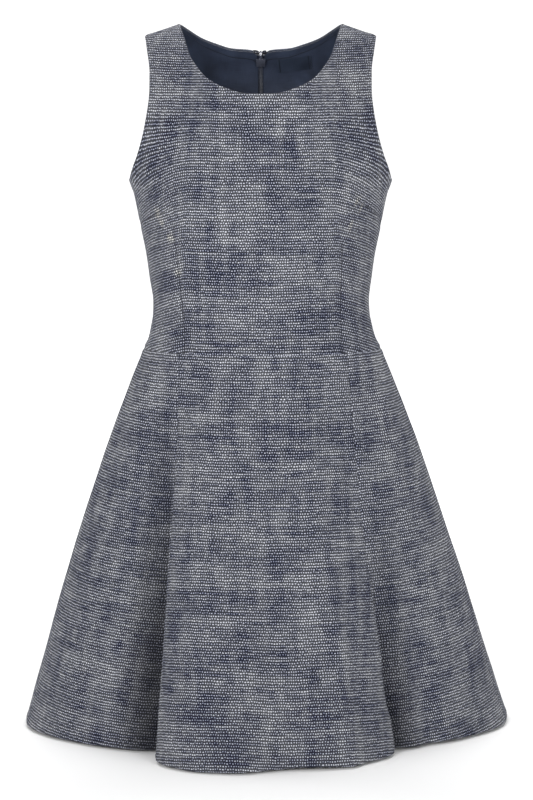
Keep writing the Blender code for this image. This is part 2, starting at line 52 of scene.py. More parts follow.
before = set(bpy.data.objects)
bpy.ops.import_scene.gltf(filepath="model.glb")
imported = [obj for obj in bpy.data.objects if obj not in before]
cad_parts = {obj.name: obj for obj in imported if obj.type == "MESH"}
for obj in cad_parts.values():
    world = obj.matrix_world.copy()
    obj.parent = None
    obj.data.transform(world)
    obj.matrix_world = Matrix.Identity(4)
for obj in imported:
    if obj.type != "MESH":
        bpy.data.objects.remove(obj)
CAD_BOX = [list(corner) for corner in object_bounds()]

MM = 0.001

# ---------------------------------------------------------------------------
# The dress's form: the same heights, widths and folds as its solids.
# ---------------------------------------------------------------------------

NECK_X = 96.4 * MM
TIP_X = 137.6 * MM
TIP_DROP = 14.2 * MM
SEAM_Y = 5.0 * MM
UNDERARM_DROP = 186.0 * MM
WAIST_DROP = 387.0 * MM
HEM_DROP = 846.0 * MM
TOP_Z = TIP_DROP / 2

BodySection = namedtuple("BodySection", "drop half_width front back middle")
BODY_SECTIONS = [
    BodySection(0, 147, 70, 64, 0),
    BodySection(30, 153.5, 80, 77, 0),
    BodySection(60, 157, 87, 88, 0),
    BodySection(90, 159.5, 93, 96, 0),
    BodySection(127, 161, 101, 102, 0),
    BodySection(158, 160.5, 107, 104, 0),
    BodySection(186, 156.5, 112, 104, 0),
    BodySection(200, 151.2, 114, 103, 0),
    BodySection(215, 147.8, 116, 101, 0),
    BodySection(243, 142.5, 116, 97, 0),
    BodySection(272, 136.8, 110, 92, 0),
    BodySection(301, 132.6, 103, 87, 0),
    BodySection(330, 128.8, 97, 84.5, 0.4),
    BodySection(344, 129.3, 95.5, 85, 0.8),
    BodySection(358, 131.6, 95.5, 87, 1.2),
    BodySection(373, 135.3, 97, 91, 1.7),
    BodySection(387, 142, 100, 96, 2.2),
]

EdgePoint = namedtuple("EdgePoint", "half_width drop")
FRONT_NECK = [
    EdgePoint(0, 81.4),
    EdgePoint(19.8, 80.4),
    EdgePoint(41.9, 74.2),
    EdgePoint(62.3, 63.6),
    EdgePoint(72.9, 52.2),
    EdgePoint(83.7, 36.1),
    EdgePoint(90.6, 15.2),
    EdgePoint(96.4, 0),
]
BACK_NECK = [
    EdgePoint(0, 38.9),
    EdgePoint(4.8, 35.8),
    EdgePoint(11.5, 31.9),
    EdgePoint(35.6, 29.5),
    EdgePoint(51.2, 24.8),
    EdgePoint(70.3, 17.4),
    EdgePoint(85.4, 7.7),
    EdgePoint(96.4, 0),
]
ARMHOLE = [
    EdgePoint(137.6, 14.2),
    EdgePoint(134.8, 31.7),
    EdgePoint(131.5, 57),
    EdgePoint(131.4, 78),
    EdgePoint(133.4, 99),
    EdgePoint(138.4, 127),
    EdgePoint(146.9, 156),
    EdgePoint(152.8, 171),
    EdgePoint(156.5, 186),
]
FRONT_ROLL = 110 * MM
BACK_ROLL = 95 * MM
ROLL_POWER = 2.0
CUP_RISE = 8 * MM
CUP_TURN = 38.0
CUP_DROP = 232 * MM
CUP_SPREAD_TURN = 22.0
CUP_SPREAD_DROP = 48 * MM

FlareSection = namedtuple("FlareSection", "drop half_width middle")
FLARE_SECTIONS = [
    FlareSection(387, 142, 2.2),
    FlareSection(426, 158, 2.6),
    FlareSection(498, 185.3, 3.0),
    FlareSection(571, 210, 3.2),
    FlareSection(669, 241.5, 4.6),
    FlareSection(767, 269.4, 6.2),
    FlareSection(846, 292.2, 7.8),
]
HEM_FRONT = 168 * MM
HEM_BACK = 208 * MM
FRONT_LAG = 0.6
FOLD_POWER = 1.15

Fold = namedtuple("Fold", "waist_turn hem_turn out start")
FOLDS = [
    Fold(-90, -90, 0, 430),
    Fold(-76, -76, -7, 430),
    Fold(-62, -60, -2, 430),
    Fold(-54, -49, 1, 450),
    Fold(-48.4, -38.4, -9, 490),
    Fold(-44.9, -33.2, 48.5, 470),
    Fold(-36, -26.8, 75.5, 430),
    Fold(-23, -16.8, 95.5, 400),
    Fold(-12, -7.7, 97, 400),
    Fold(1.4, 3.1, 79, 400),
    Fold(10, 10.5, 73, 400),
    Fold(22.7, 22.2, 74, 400),
    Fold(32, 29.7, 55.5, 430),
    Fold(41, 39.7, 29, 520),
    Fold(45.2, 43.8, 10.5, 560),
    Fold(48.6, 46.4, -16, 590),
    Fold(57, 52.5, -6, 560),
    Fold(67, 62, -20, 480),
    Fold(78, 76, -21, 480),
    Fold(90, 93, 0, 430),
    Fold(111, 113, 30, 450),
    Fold(128, 129, -20, 470),
    Fold(149, 150, 28, 430),
    Fold(168, 168, -6, 470),
    Fold(192, 191, -9, 450),
    Fold(212, 209, 32, 420),
    Fold(231, 228, -16, 480),
    Fold(250, 247, 24, 440),
]

# The columns and rows of a half bodice's solid, and how many of them end in its neckline
# and in its side seam.
SOLID_COLUMNS = 12
SOLID_ROWS = 20
NECK_SHARE = 9 / SOLID_COLUMNS
SIDE_SHARE = 10 / SOLID_ROWS
ARMHOLE_EASE = 1.35

# Each gore's seams at the waist and its flat cut in metres: widest, longest, and area.
Gore = namedtuple("Gore", "name turn_from turn_to columns width length area")
GORES = [
    Gore("skirt_side_front_left", -90, -44.9, 56, 0.300, 0.482, 0.094),
    Gore("skirt_front_centre", -44.9, 45.2, 84, 0.358, 0.490, 0.136),
    Gore("skirt_side_front_right", 45.2, 90, 56, 0.250, 0.485, 0.083),
    Gore("skirt_side_back_right", 90, 133, 50, 0.233, 0.491, 0.080),
    Gore("skirt_centre_back_right", 133, 180, 50, 0.200, 0.482, 0.077),
    Gore("skirt_centre_back_left", 180, 227, 50, 0.200, 0.482, 0.077),
    Gore("skirt_side_back_left", 227, 270, 50, 0.249, 0.486, 0.085),
]
GORE_ROWS = 84
HALF_BODICE_COLUMNS = 52
BODICE_ROWS = 108

# How much closer together the grid lines are along a piece's edges, 0 to 1.
EDGE_CLOSENESS = 0.78

# Steps over which the way out of the cloth is measured, in degrees and metres.
TURN_STEP = 0.15
DROP_STEP = 0.3 * MM

# ---------------------------------------------------------------------------
# Sewing, in metres and degrees.
# ---------------------------------------------------------------------------

# Darts as places (turn, drop in mm) from the seam they start at to their point.
Dart = namedtuple("Dart", "name places")
WAIST_DARTS = [
    Dart("left waist dart", [
        (-41.0, 387), (-41.3, 382.3), (-43.9, 359.2), (-46.7, 323.9), (-46.1, 287.9),
        (-45.8, 258.0), (-44.9, 232)]),
    Dart("right waist dart", [
        (42.0, 387), (42.2, 382.5), (45.9, 359.4), (47.0, 323.9), (45.3, 287.9),
        (42.5, 250)]),
]
BUST_DARTS = [
    Dart("left bust dart", [
        (-90, 240), (-81.6, 236.3), (-67.6, 229.9), (-59.0, 224.1), (-53.5, 221.2),
        (-49.5, 219.7)]),
    Dart("right bust dart", [
        (90, 237), (87.0, 235.9), (69.0, 224.1), (59.7, 216.0), (53.1, 210.6),
        (48.5, 209.0)]),
]
BACK_DARTS = [
    Dart("right back dart", [(138, 387), (139.5, 350), (141, 310), (143, 250), (144, 215)]),
    Dart("left back dart", [(222, 387), (220.5, 350), (219, 310), (217, 250), (216.5, 218)]),
]
# Clusters of thick cream slubs: turn, drop in mm and size in mm.
CREAM_SLUBS = [
    (-56.0, 221.5, 5.0), (-53.5, 232.0, 4.0), (-48.8, 250.0, 5.5), (-46.6, 292.0, 4.0),
    (49.5, 206.5, 4.5), (53.0, 214.0, 3.5), (47.0, 236.0, 4.0),
]
DART_PINCH = 1.1 * MM         # how far the cloth dips along a dart
DART_PINCH_WIDTH = 2.6 * MM
DART_FADE = 1 / 3             # share of a dart's length over which the dip runs out
DART_POINT_DIMPLE = 0.48 * MM
DART_POINT_SPREAD = 12 * MM
LEVEL_DART_TURN = 20.0        # a dart that turns further than this runs across the cloth
NO_LINE_NEAR = 1.0            # the distance to a sewn line where there is none

# Soft troughs and ridges left by wear and hanging, over the whole dress. Places are
# (turn, drop in mm), rise and width in mm: a rise below zero is a trough.
CREASE_END = 0.02             # share of a crease at each end that has its lowest rise
CREASE_FULLNESS = 1.6         # how soon a crease reaches its full rise from its ends
Crease = namedtuple("Crease", "rise width places")
BODICE_CREASES = [
    Crease(-1.1, 8, [(-84, 262), (-70, 252), (-58, 246)]),
    Crease(0.9, 9, [(-83, 285), (-66, 272), (-55, 268)]),
    Crease(-1.0, 8, [(86, 258), (71, 247), (60, 243)]),
    Crease(0.8, 9, [(84, 290), (67, 280), (54, 277)]),
    Crease(-1.0, 9, [(-82, 330), (-66, 338), (-50, 340)]),
    Crease(0.8, 8, [(80, 336), (64, 345), (52, 347)]),
    Crease(-0.8, 10, [(-30, 352), (-8, 358), (14, 354)]),
    Crease(0.6, 10, [(-22, 334), (2, 338), (24, 332)]),
    Crease(-1.1, 9, [(-72, 172), (-60, 186), (-54, 205)]),
    Crease(-1.0, 9, [(74, 170), (61, 182), (54, 198)]),
    Crease(0.7, 12, [(-26, 118), (-22, 160), (-18, 205)]),
    Crease(0.6, 12, [(20, 108), (21, 150), (24, 190)]),
    Crease(-1.2, 10, [(168, 352), (150, 344), (126, 350)]),
    Crease(1.0, 10, [(172, 328), (150, 322), (122, 330)]),
    Crease(-1.1, 10, [(192, 358), (212, 347), (236, 353)]),
    Crease(0.9, 10, [(189, 333), (214, 325), (240, 335)]),
    Crease(-1.0, 11, [(176, 120), (160, 138), (140, 165)]),
    Crease(-0.9, 11, [(184, 128), (202, 146), (220, 170)]),
]
SKIRT_CREASES = [
    Crease(-1.6, 12, [(-84, 400), (-80, 470), (-78, 560)]),
    Crease(1.3, 13, [(-70, 402), (-68, 480), (-66, 600)]),
    Crease(-1.5, 12, [(-58, 396), (-57, 470), (-55, 560)]),
    Crease(1.4, 15, [(-30, 394), (-31, 470), (-32, 600)]),
    Crease(-1.3, 16, [(-14, 400), (-15, 520), (-16, 690)]),
    Crease(1.0, 16, [(6, 396), (7, 500), (8, 640)]),
    Crease(-1.3, 16, [(26, 398), (27, 500), (28, 680)]),
    Crease(1.2, 12, [(38, 410), (38, 520), (39, 660)]),
    Crease(-1.5, 12, [(54, 396), (56, 470), (58, 560)]),
    Crease(1.4, 13, [(66, 400), (68, 500), (70, 640)]),
    Crease(-1.4, 13, [(82, 400), (82, 480), (83, 570)]),
    Crease(1.6, 14, [(43.2, 690), (42.6, 722), (43.4, 752)]),
    Crease(-1.6, 13, [(42.8, 742), (43.8, 772), (43.0, 800)]),
    Crease(1.4, 12, [(44.0, 796), (43.0, 820), (43.6, 846)]),
    Crease(-2.4, 26, [(-26, 846), (-25, 800), (-24, 740)]),
    Crease(2.0, 30, [(12, 846), (12, 800), (12, 720)]),
    Crease(-1.8, 24, [(30, 846), (30, 806), (30, 750)]),
    Crease(-2.0, 26, [(-68, 846), (-67, 790), (-66, 720)]),
    Crease(1.8, 26, [(72, 846), (71, 800), (70, 730)]),
    Crease(-1.6, 13, [(100, 398), (101, 480), (102, 580)]),
    Crease(1.5, 14, [(118, 400), (119, 500), (120, 620)]),
    Crease(-1.5, 14, [(141, 396), (142, 480), (143, 590)]),
    Crease(1.3, 15, [(160, 398), (161, 520), (162, 660)]),
    Crease(-1.4, 14, [(199, 398), (199, 500), (198, 620)]),
    Crease(1.5, 14, [(219, 396), (219, 480), (218, 600)]),
    Crease(-1.6, 13, [(238, 400), (238, 500), (237, 640)]),
    Crease(1.5, 14, [(258, 398), (258, 480), (257, 570)]),
    Crease(-2.2, 28, [(158, 846), (159, 800), (160, 730)]),
    Crease(2.0, 28, [(183, 846), (183, 800), (182, 730)]),
    Crease(-2.0, 26, [(222, 846), (222, 800), (221, 740)]),
]
LINING_CREASES = [
    Crease(-1.3, 5, [(161, 46), (154, 66), (150, 92)]),
    Crease(1.2, 5, [(166, 58), (159, 84), (156, 120)]),
    Crease(-1.2, 6, [(150, 70), (142, 96), (136, 130)]),
    Crease(1.1, 5, [(140, 40), (133, 62), (128, 92)]),
    Crease(-1.1, 5, [(201, 50), (208, 66), (216, 92)]),
    Crease(1.2, 5, [(196, 66), (203, 90), (207, 122)]),
    Crease(-1.3, 6, [(214, 40), (224, 62), (230, 92)]),
    Crease(1.0, 6, [(226, 44), (235, 70), (240, 100)]),
    Crease(-1.0, 6, [(190, 90), (192, 120), (193, 150)]),
]

# Painted shade where one fold hides the cloth behind it: the cloth there is painted darker.
# The turns at which the painted shade starts, is deepest (from, to) and ends, the drops
# where it starts and is deepest, and its depth.
PaintedShade = namedtuple("PaintedShade", "turns start full depth")
PAINTED_SHADES = [
    PaintedShade((-60, -51, -48.6, -45.2), 440, 760, 1.0),
    PaintedShade((45.4, 52, 53.5, 64), 560, 800, 0.85),
    PaintedShade((118, 127, 130, 138), 520, 846, 0.45),
    PaintedShade((158, 166, 169, 180), 540, 846, 0.35),
    PaintedShade((181, 190, 193, 201), 540, 846, 0.35),
    PaintedShade((221, 230, 233, 241), 520, 846, 0.45),
]

SEAM_ROLL = 0.9 * MM          # how far a sewn edge turns in, and over what distance
SEAM_ROLL_WIDTH = 1.7 * MM
EDGE_FULLNESS = 0.35 * MM     # the turned edge stands proud just inside the roll
EDGE_FULLNESS_AT = 5.0 * MM
EDGE_FULLNESS_WIDTH = 3.0 * MM
SURFACE_WANDER = 0.45 * MM    # slow unevenness of hung cloth
WANDER_LENGTH = 42 * MM
HEM_FOLD = 0.9 * MM           # extra thickness where the hem is turned up
HEM_FOLD_SOFTNESS = 0.7 * MM
PAINTED_SHADE_POWER = 0.8            # how a hollow deepens on its way down

# How the rows of the weave lie: past a distance from the centre they run up towards the
# sides, by a share of what is past it. Over the bust darts they start to bend softly.
UNDER_DART_CLIMB = 0.25
UNDER_DART_FROM = 94 * MM
OVER_DART_CLIMB = 0.38
OVER_DART_FROM = 83 * MM
OVER_DART_BEND = 40 * MM
OVER_DART_TOP = 105 * MM
OVER_DART_FADE = 85 * MM
BACK_CLIMB = 0.12
BACK_CLIMB_FROM = 70 * MM
SHOULDER_END = 130 * MM       # the cloth above this height leans back over the shoulders
SHOULDER_FADE = 40 * MM

# Lining, label and zip: the same depths and sizes as the solids.
LINING_DEPTH = 3.4 * MM
LINING_WALL = 1.0 * MM
LINING_INSET = 0.03
LINING_CENTRE = 0.031         # share of the half back left free beside the zip
LINING_CENTRE_SPREAD = 0.012  # and how much more of it towards the neck
LINING_LIFT = 0.2 * MM
LINING_COLUMNS = 48
LINING_ROWS = 64
LINING_FOLD_SHADE = 1.3 * MM  # rise of a fold that is shaded in full
FACING_WIDTH = 11.5 * MM
FACING_SEAM_WIDTH = 4 * MM
FACING_STEP = 0.35 * MM
FACING_STEP_SOFTNESS = 0.5 * MM
LABEL_WIDTH = 42 * MM
LABEL_HEIGHT = 16 * MM
LABEL_X = 41.5 * MM
LABEL_DROP = 47 * MM
LABEL_TILT = math.radians(7)
LABEL_DEPTH = 4.7 * MM
LABEL_WALL = 0.8 * MM
LABEL_COLUMNS = 40
LABEL_ROWS = 20
LABEL_STITCHES = 3.0 * MM     # from the label's ends to the line sewn along them
LABEL_BARE_END = 1.2 * MM
LABEL_END_BULGE = 0.25 * MM
LABEL_BULGE_AT = 1.6 * MM
LABEL_BULGE_WIDTH = 1.5 * MM
TAPE_DEPTH = 2.1 * MM
TAPE_WALL = 1.0 * MM
TAPE_FROM_CENTRE = 0.4 * MM
TAPE_WIDTH = 12.6 * MM
TAPE_TOP_DROP = 40.6 * MM
TAPE_COLUMNS = 10
TAPE_ROWS = 150
ZIP_END_DROP = 549 * MM
CHAIN_TOP_DROP = 50.6 * MM
CHAIN_DEPTH = 3.4 * MM
CHAIN_HALF_WALL = 0.75 * MM
CHAIN_TOP_GAP = 0.6 * MM
CHAIN_END_GAP = 2 * MM
TOOTH_PITCH = 1.7 * MM
TOOTH_LENGTH = 3.4 * MM
TOOTH_RADIUS = 0.62 * MM
TOOTH_END_RADIUS = 0.5 * MM
TOOTH_SHIFT = 0.75 * MM
TOOTH_LEAN = 8.0
SLIDER_ROUNDING = 0.14 * MM

# The corners of cloth turned over at the top of the zip: -1 is left of it, 1 is right.
NeckCorner = namedtuple("NeckCorner", "side reach width")
NECK_CORNERS = [NeckCorner("left", -1, 8.5 * MM), NeckCorner("right", 1, 5.5 * MM)]
CORNER_FROM_CENTRE = 1.6 * MM
CORNER_TOP_DROP = 33.4
CORNER_END_DROP = 39.4
CORNER_SPLAY = 0.16
CORNER_DEPTH = 3.5 * MM
CORNER_HALF_WALL = 1.3 * MM
CORNER_ROUNDNESS = 0.55
# Painted shade over the whole of each corner, 0 to 1.
CORNER_SHADE = 0.6
CORNER_CUTS = 5


def mix(a, b, share):
    return a + (b - a) * share


class Smooth:
    """A smooth line through a table's rows, which doesn't overshoot them."""

    def __init__(self, places, values):
        self.places = list(places)
        self.values = list(values)
        steps = [b - a for a, b in zip(self.places, self.places[1:])]
        rises = [b - a for a, b in zip(self.values, self.values[1:])]
        slopes = [rise / step for rise, step in zip(rises, steps)]
        tangents = [slopes[0]]
        for before, after in zip(slopes, slopes[1:]):
            same_way = before * after > 0
            tangents.append(2 * before * after / (before + after) if same_way else 0.0)
        self.tangents = tangents + [slopes[-1]]

    def __call__(self, place):
        if place <= self.places[0]:
            return self.values[0] + self.tangents[0] * (place - self.places[0])
        if place >= self.places[-1]:
            return self.values[-1] + self.tangents[-1] * (place - self.places[-1])
        row = 0
        while place > self.places[row + 1]:
            row += 1
        step = self.places[row + 1] - self.places[row]
        t = (place - self.places[row]) / step
        start = (1 + 2 * t) * (1 - t) ** 2 * self.values[row]
        end = t * t * (3 - 2 * t) * self.values[row + 1]
        start_bend = t * (1 - t) ** 2 * step * self.tangents[row]
        end_bend = t * t * (t - 1) * step * self.tangents[row + 1]
        return start + end + start_bend + end_bend


def column(rows, place, value, scale=MM):
    places = [getattr(row, place) * MM for row in rows]
    return Smooth(places, [getattr(row, value) * scale for row in rows])


def round_the_figure(value, scale=1.0):
    rows = [(fold.waist_turn + 360 * lap, fold, lap) for lap in (-1, 0, 1) for fold in FOLDS]
    lift = 360 if value == "hem_turn" else 0
    return Smooth(
        [turn for turn, fold, lap in rows],
        [(getattr(fold, value) + lift * lap) * scale for turn, fold, lap in rows],
    )


half_width_at = column(BODY_SECTIONS, "drop", "half_width")
front_depth_at = column(BODY_SECTIONS, "drop", "front")
back_depth_at = column(BODY_SECTIONS, "drop", "back")
body_middle_at = column(BODY_SECTIONS, "drop", "middle")
armhole_at = column(ARMHOLE, "drop", "half_width")
flare_at = column(FLARE_SECTIONS, "drop", "half_width")
flare_middle_at = column(FLARE_SECTIONS, "drop", "middle")
hem_turn_at = round_the_figure("hem_turn")
fold_out_at = round_the_figure("out", MM)
fold_start_at = round_the_figure("start", MM)


class Edge:
    """A smooth neckline, read by the share of its length from the centre."""

    def __init__(self, rows):
        points = [Vector((row.half_width, row.drop)) * MM for row in rows]
        lengths = [0.0]
        for a, b in zip(points, points[1:]):
            lengths.append(lengths[-1] + (b - a).length)
        shares = [length / lengths[-1] for length in lengths]
        self.half_width = Smooth(shares, [point.x for point in points])
        self.drop = Smooth(shares, [point.y for point in points])

    def at(self, share):
        return self.half_width(share), self.drop(share)


def ridge_drop(x):
    slope = TIP_DROP / (TIP_X - NECK_X)
    if abs(x) >= NECK_X:
        return (abs(x) - NECK_X) * slope
    return (x * x / NECK_X - NECK_X) * slope / 2


def bodice_point(turn, drop):
    """A point on the outer face of the bodice."""
    angle = math.radians(turn)
    in_front = math.cos(angle) >= 0
    depth = front_depth_at(drop) if in_front else back_depth_at(drop)
    x = half_width_at(drop) * math.sin(angle)
    y = -depth * math.cos(angle)
    if in_front:
        along = (abs(turn) - CUP_TURN) / CUP_SPREAD_TURN
        down = (drop - CUP_DROP) / CUP_SPREAD_DROP
        y -= CUP_RISE * math.exp(-along * along - down * down)
    below_ridge = (drop - ridge_drop(x)) / (FRONT_ROLL if in_front else BACK_ROLL)
    if below_ridge < 1:
        left = 1 - max(below_ridge, 0.0)
        y = mix(SEAM_Y, y, (1 - left ** ROLL_POWER) ** (1 / ROLL_POWER))
    return Vector((x + body_middle_at(drop), y, TOP_Z - drop))


def skirt_point(turn, drop):
    """A point on the outer face of the skirt, the turn being that at the waist."""
    angle = math.radians(turn)
    waist_half = half_width_at(WAIST_DROP)
    in_front = math.cos(angle) >= 0
    waist_depth = front_depth_at(WAIST_DROP) if in_front else back_depth_at(WAIST_DROP)
    waist = Vector((waist_half * math.sin(angle), -waist_depth * math.cos(angle)))
    hem_angle = math.radians(hem_turn_at(turn))
    way_out = Vector((math.sin(hem_angle), -math.cos(hem_angle)))
    hem_depth = HEM_FRONT if math.cos(hem_angle) >= 0 else HEM_BACK
    hem_half = flare_at(HEM_DROP)
    oval = 1 / math.hypot(way_out.x / hem_half, way_out.y / hem_depth)
    flare = (flare_at(drop) - waist_half) / (hem_half - waist_half)
    if in_front and flare > 0:
        flare **= 1 + FRONT_LAG * math.cos(angle) ** 2
    start = fold_start_at(turn)
    fold = max(0.0, (drop - start) / (HEM_DROP - start)) ** FOLD_POWER
    place = waist + (way_out * oval - waist) * flare + way_out * fold_out_at(turn) * fold
    return Vector((place.x + flare_middle_at(drop), place.y, TOP_Z - drop))


def dress_point(turn, drop):
    """A point anywhere on the dress's outer face."""
    return bodice_point(turn, drop) if drop < WAIST_DROP else skirt_point(turn, drop)


def half_panel(neck):
    """The way from (out, up), each 0 to 1, to the angle from the centre and the drop."""

    def angle_of(half_width, drop):
        return math.degrees(math.asin(min(1.0, half_width / half_width_at(drop))))

    def top(out):
        if out <= NECK_SHARE:
            half_width, drop = neck.at(out / NECK_SHARE)
        else:
            share = (out - NECK_SHARE) / (1 - NECK_SHARE)
            half_width, drop = mix(NECK_X, TIP_X, share), mix(0.0, TIP_DROP, share)
        return Vector((angle_of(half_width, drop), drop))

    def side(up):
        if up <= SIDE_SHARE:
            return Vector((90.0, mix(WAIST_DROP, UNDERARM_DROP, up / SIDE_SHARE)))
        share = ((up - SIDE_SHARE) / (1 - SIDE_SHARE)) ** ARMHOLE_EASE
        drop = mix(UNDERARM_DROP, TIP_DROP, share)
        return Vector((angle_of(armhole_at(drop), drop), drop))

    def blend(out, up):
        centre = Vector((0.0, mix(WAIST_DROP, top(0.0).y, up)))
        waist = Vector((90.0 * out, WAIST_DROP))
        across = mix(centre, side(up), out)
        upwards = mix(waist, top(out), up)
        low = mix(Vector((0.0, WAIST_DROP)), Vector((90.0, WAIST_DROP)), out)
        corners = mix(low, mix(top(0.0), top(1.0), out), up)
        return across + upwards - corners

    return blend


front_half = half_panel(Edge(FRONT_NECK))
back_half = half_panel(Edge(BACK_NECK))


def front_place(across, up):
    """Turn and drop of a place on the bodice's front panel."""
    angle, drop = front_half(abs(2 * across - 1), up)
    return math.copysign(angle, across - 0.5), drop


def back_right_place(across, up):
    angle, drop = back_half(1 - across, up)
    return 180 - angle, drop


def back_left_place(across, up):
    angle, drop = back_half(across, up)
    return 180 + angle, drop


# ---------------------------------------------------------------------------
# Cloth as fine grids
# ---------------------------------------------------------------------------


def closer_at_ends(share):
    """Spaces grid lines closer together towards both ends of a piece."""
    return share - EDGE_CLOSENESS * math.sin(2 * math.pi * share) / (2 * math.pi)


def lengths_along(points, axis):
    """Distances along the grid's lines from its first edge."""
    steps = np.linalg.norm(np.diff(points, axis=axis), axis=-1)
    start = np.zeros_like(np.take(steps, [0], axis=axis))
    return np.concatenate([start, np.cumsum(steps, axis=axis)], axis=axis)


def distance_to_line(points, line):
    """Each point's distance to a line of points, and how far along it is, 0 to 1."""
    spots = np.array([tuple(spot) for spot in line])
    best = np.full(points.shape[:-1], 1e9)
    along = np.zeros(points.shape[:-1])
    count = len(spots) - 1
    for k in range(count):
        way = spots[k + 1] - spots[k]
        share = np.clip(((points - spots[k]) @ way) / (way @ way), 0, 1)
        gap = np.linalg.norm(points - (spots[k] + share[..., None] * way), axis=-1)
        nearer = gap < best
        best = np.where(nearer, gap, best)
        along = np.where(nearer, (k + share) / count, along)
    return best, along


def outward(point_at, turn, drop, middle_turn):
    """The way out of the cloth at a place, measured towards the panel's middle."""
    step = math.copysign(TURN_STEP, middle_turn - turn)
    spot = point_at(turn, drop)
    along = (point_at(turn + step, drop) - spot) * step
    up = spot - point_at(turn, drop + DROP_STEP)
    return tuple(along.cross(up).normalized())


def crease_relief(points, creases, point_at):
    relief = np.zeros(points.shape[:-1])
    for crease in creases:
        line = [point_at(turn, drop * MM) for turn, drop in crease.places]
        gap, along = distance_to_line(points, line)
        along_inside = np.clip(along, CREASE_END, 1 - CREASE_END)
        fade = np.clip(np.sin(np.pi * along_inside) * CREASE_FULLNESS, 0, 1)
        open_end = crease.places[0][1] >= HEM_DROP / MM
        fade = np.where(along < 0.5, 1.0, fade) if open_end else fade
        relief += crease.rise * MM * fade * np.exp(-(gap / (crease.width * MM)) ** 2)
    return relief


def wander_relief(points, rise=SURFACE_WANDER, length=WANDER_LENGTH):
    flat = points.reshape(-1, 3) / length
    values = [noise.noise(Vector(spot)) for spot in flat]
    return rise * np.array(values).reshape(points.shape[:-1])


def line_across(dart):
    """The drop in mm of a dart that runs across the cloth, from the turn."""
    return Smooth(*zip(*sorted(dart.places)))


